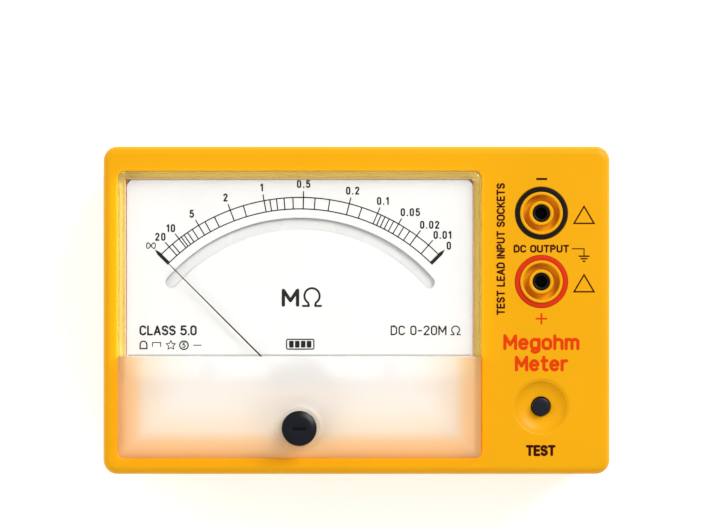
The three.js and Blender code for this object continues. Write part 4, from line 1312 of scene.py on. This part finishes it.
# The CAD nodes that stay, by how their names start.
KEPT_LOOKS = {
    "steel": ("case_screw", "dial_screw", "base_screw", "board_screw", "yoke_ring"),
    "iron": ("magnet_core",),
    "brass": ("core_spacer", "upper_", "lower_", "balance_weight", "hairspring", "zero_arm"),
    "nickel": ("contact_strip",),
    "natural": ("meter_base",),
    "coil": ("moving_coil",),
    "transformer": ("transformer",),
    "board": ("circuit_board",),
    "sleeve": ("capacitor",),
    "black": ("test_switch", "timer_chip", "dc_inlet"),
    "lead_red": ("meter_lead_red", "battery_lead_red"),
    "lead_black": ("meter_lead_black", "battery_lead_black"),
}


def dress_kept_nodes():
    for look, starts in KEPT_LOOKS.items():
        for name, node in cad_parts.items():
            if name.startswith(starts):
                for slot in node.material_slots:
                    slot.link = "OBJECT"
                    slot.material = MATERIALS[look]


# ---- Stage ----
# The view is straight down, framed so that the tester stands a little below the middle.
LENS = 120
SENSOR = 36
VIEW_WIDTH = 209.7
VIEW_X = -0.45
VIEW_Y = 13.4


def camera():
    obj = add_object("camera", bpy.data.cameras.new("camera"))
    obj.data.lens = LENS
    obj.data.sensor_width = SENSOR
    obj.data.clip_start = 0.01
    obj.location = (VIEW_X * MM, VIEW_Y * MM, (FACE + VIEW_WIDTH * LENS / SENSOR) * MM)
    bpy.context.scene.camera = obj


FLOOR_HALF = 1500


def floor():
    look = Look("pale_floor", Emission_Color=(1, 1, 1, 1), Emission_Strength=0.45)
    tones = [(0.3, (0.93, 0.93, 0.93)), (0.7, (0.95, 0.95, 0.95))]
    look.join(look.ramp(look.noise(120, 2), tones), look.shader.inputs["Base Color"])
    look.join(look.ranged(look.noise(3, 2), 0.6, 0.7), look.shader.inputs["Roughness"])
    obj = block(-FLOOR_HALF, FLOOR_HALF, -FLOOR_HALF, FLOOR_HALF, -20, 0, 5).built("floor")
    obj.data.materials.append(look.material)


def softbox(name, size, watts, place_at, mirrored=True, aim=(0, 0, 0.03)):
    lamp = bpy.data.lights.new(name, "AREA")
    lamp.shape = "RECTANGLE"
    lamp.size, lamp.size_y = size
    lamp.energy = watts
    obj = add_object(name, lamp)
    obj.visible_glossy = mirrored
    obj.location = place_at
    obj.rotation_euler = (Vector(aim) - Vector(place_at)).to_track_quat("-Z", "Y").to_euler()


def studio():
    world = bpy.data.worlds.new("studio")
    world.use_nodes = True
    background = world.node_tree.nodes["Background"]
    background.inputs["Color"].default_value = (1, 1, 1, 1)
    background.inputs["Strength"].default_value = 0.28
    scene = bpy.context.scene
    scene.world = world
    scene.view_settings.view_transform = "Standard"
    softbox("key", (0.7, 0.7), 14.5, (0.75, 0.75, 0.8))
    softbox("fill", (0.9, 0.7), 5.5, (-0.9, 0.15, 0.7), mirrored=False)
    softbox("front", (0.9, 0.7), 3.5, (0.1, -0.95, 0.7), mirrored=False)


camera()
floor()
studio()
front_case()
rear_case()
battery_door()
feet()
cover_half("cover_clear", CLEAR_TOP, 1, "clear")
cover_half("cover_frosted", APRON_TOP, -1, "frosted")
rim_light_strip()
dial_plate()
scale_lines()
dial_numbers()
dial_symbols()
case_legends()
jack_rings()
socket_linings()
zero_corrector()
test_button()
return_spring()
pointer_needle()
cells()
dress_kept_nodes()
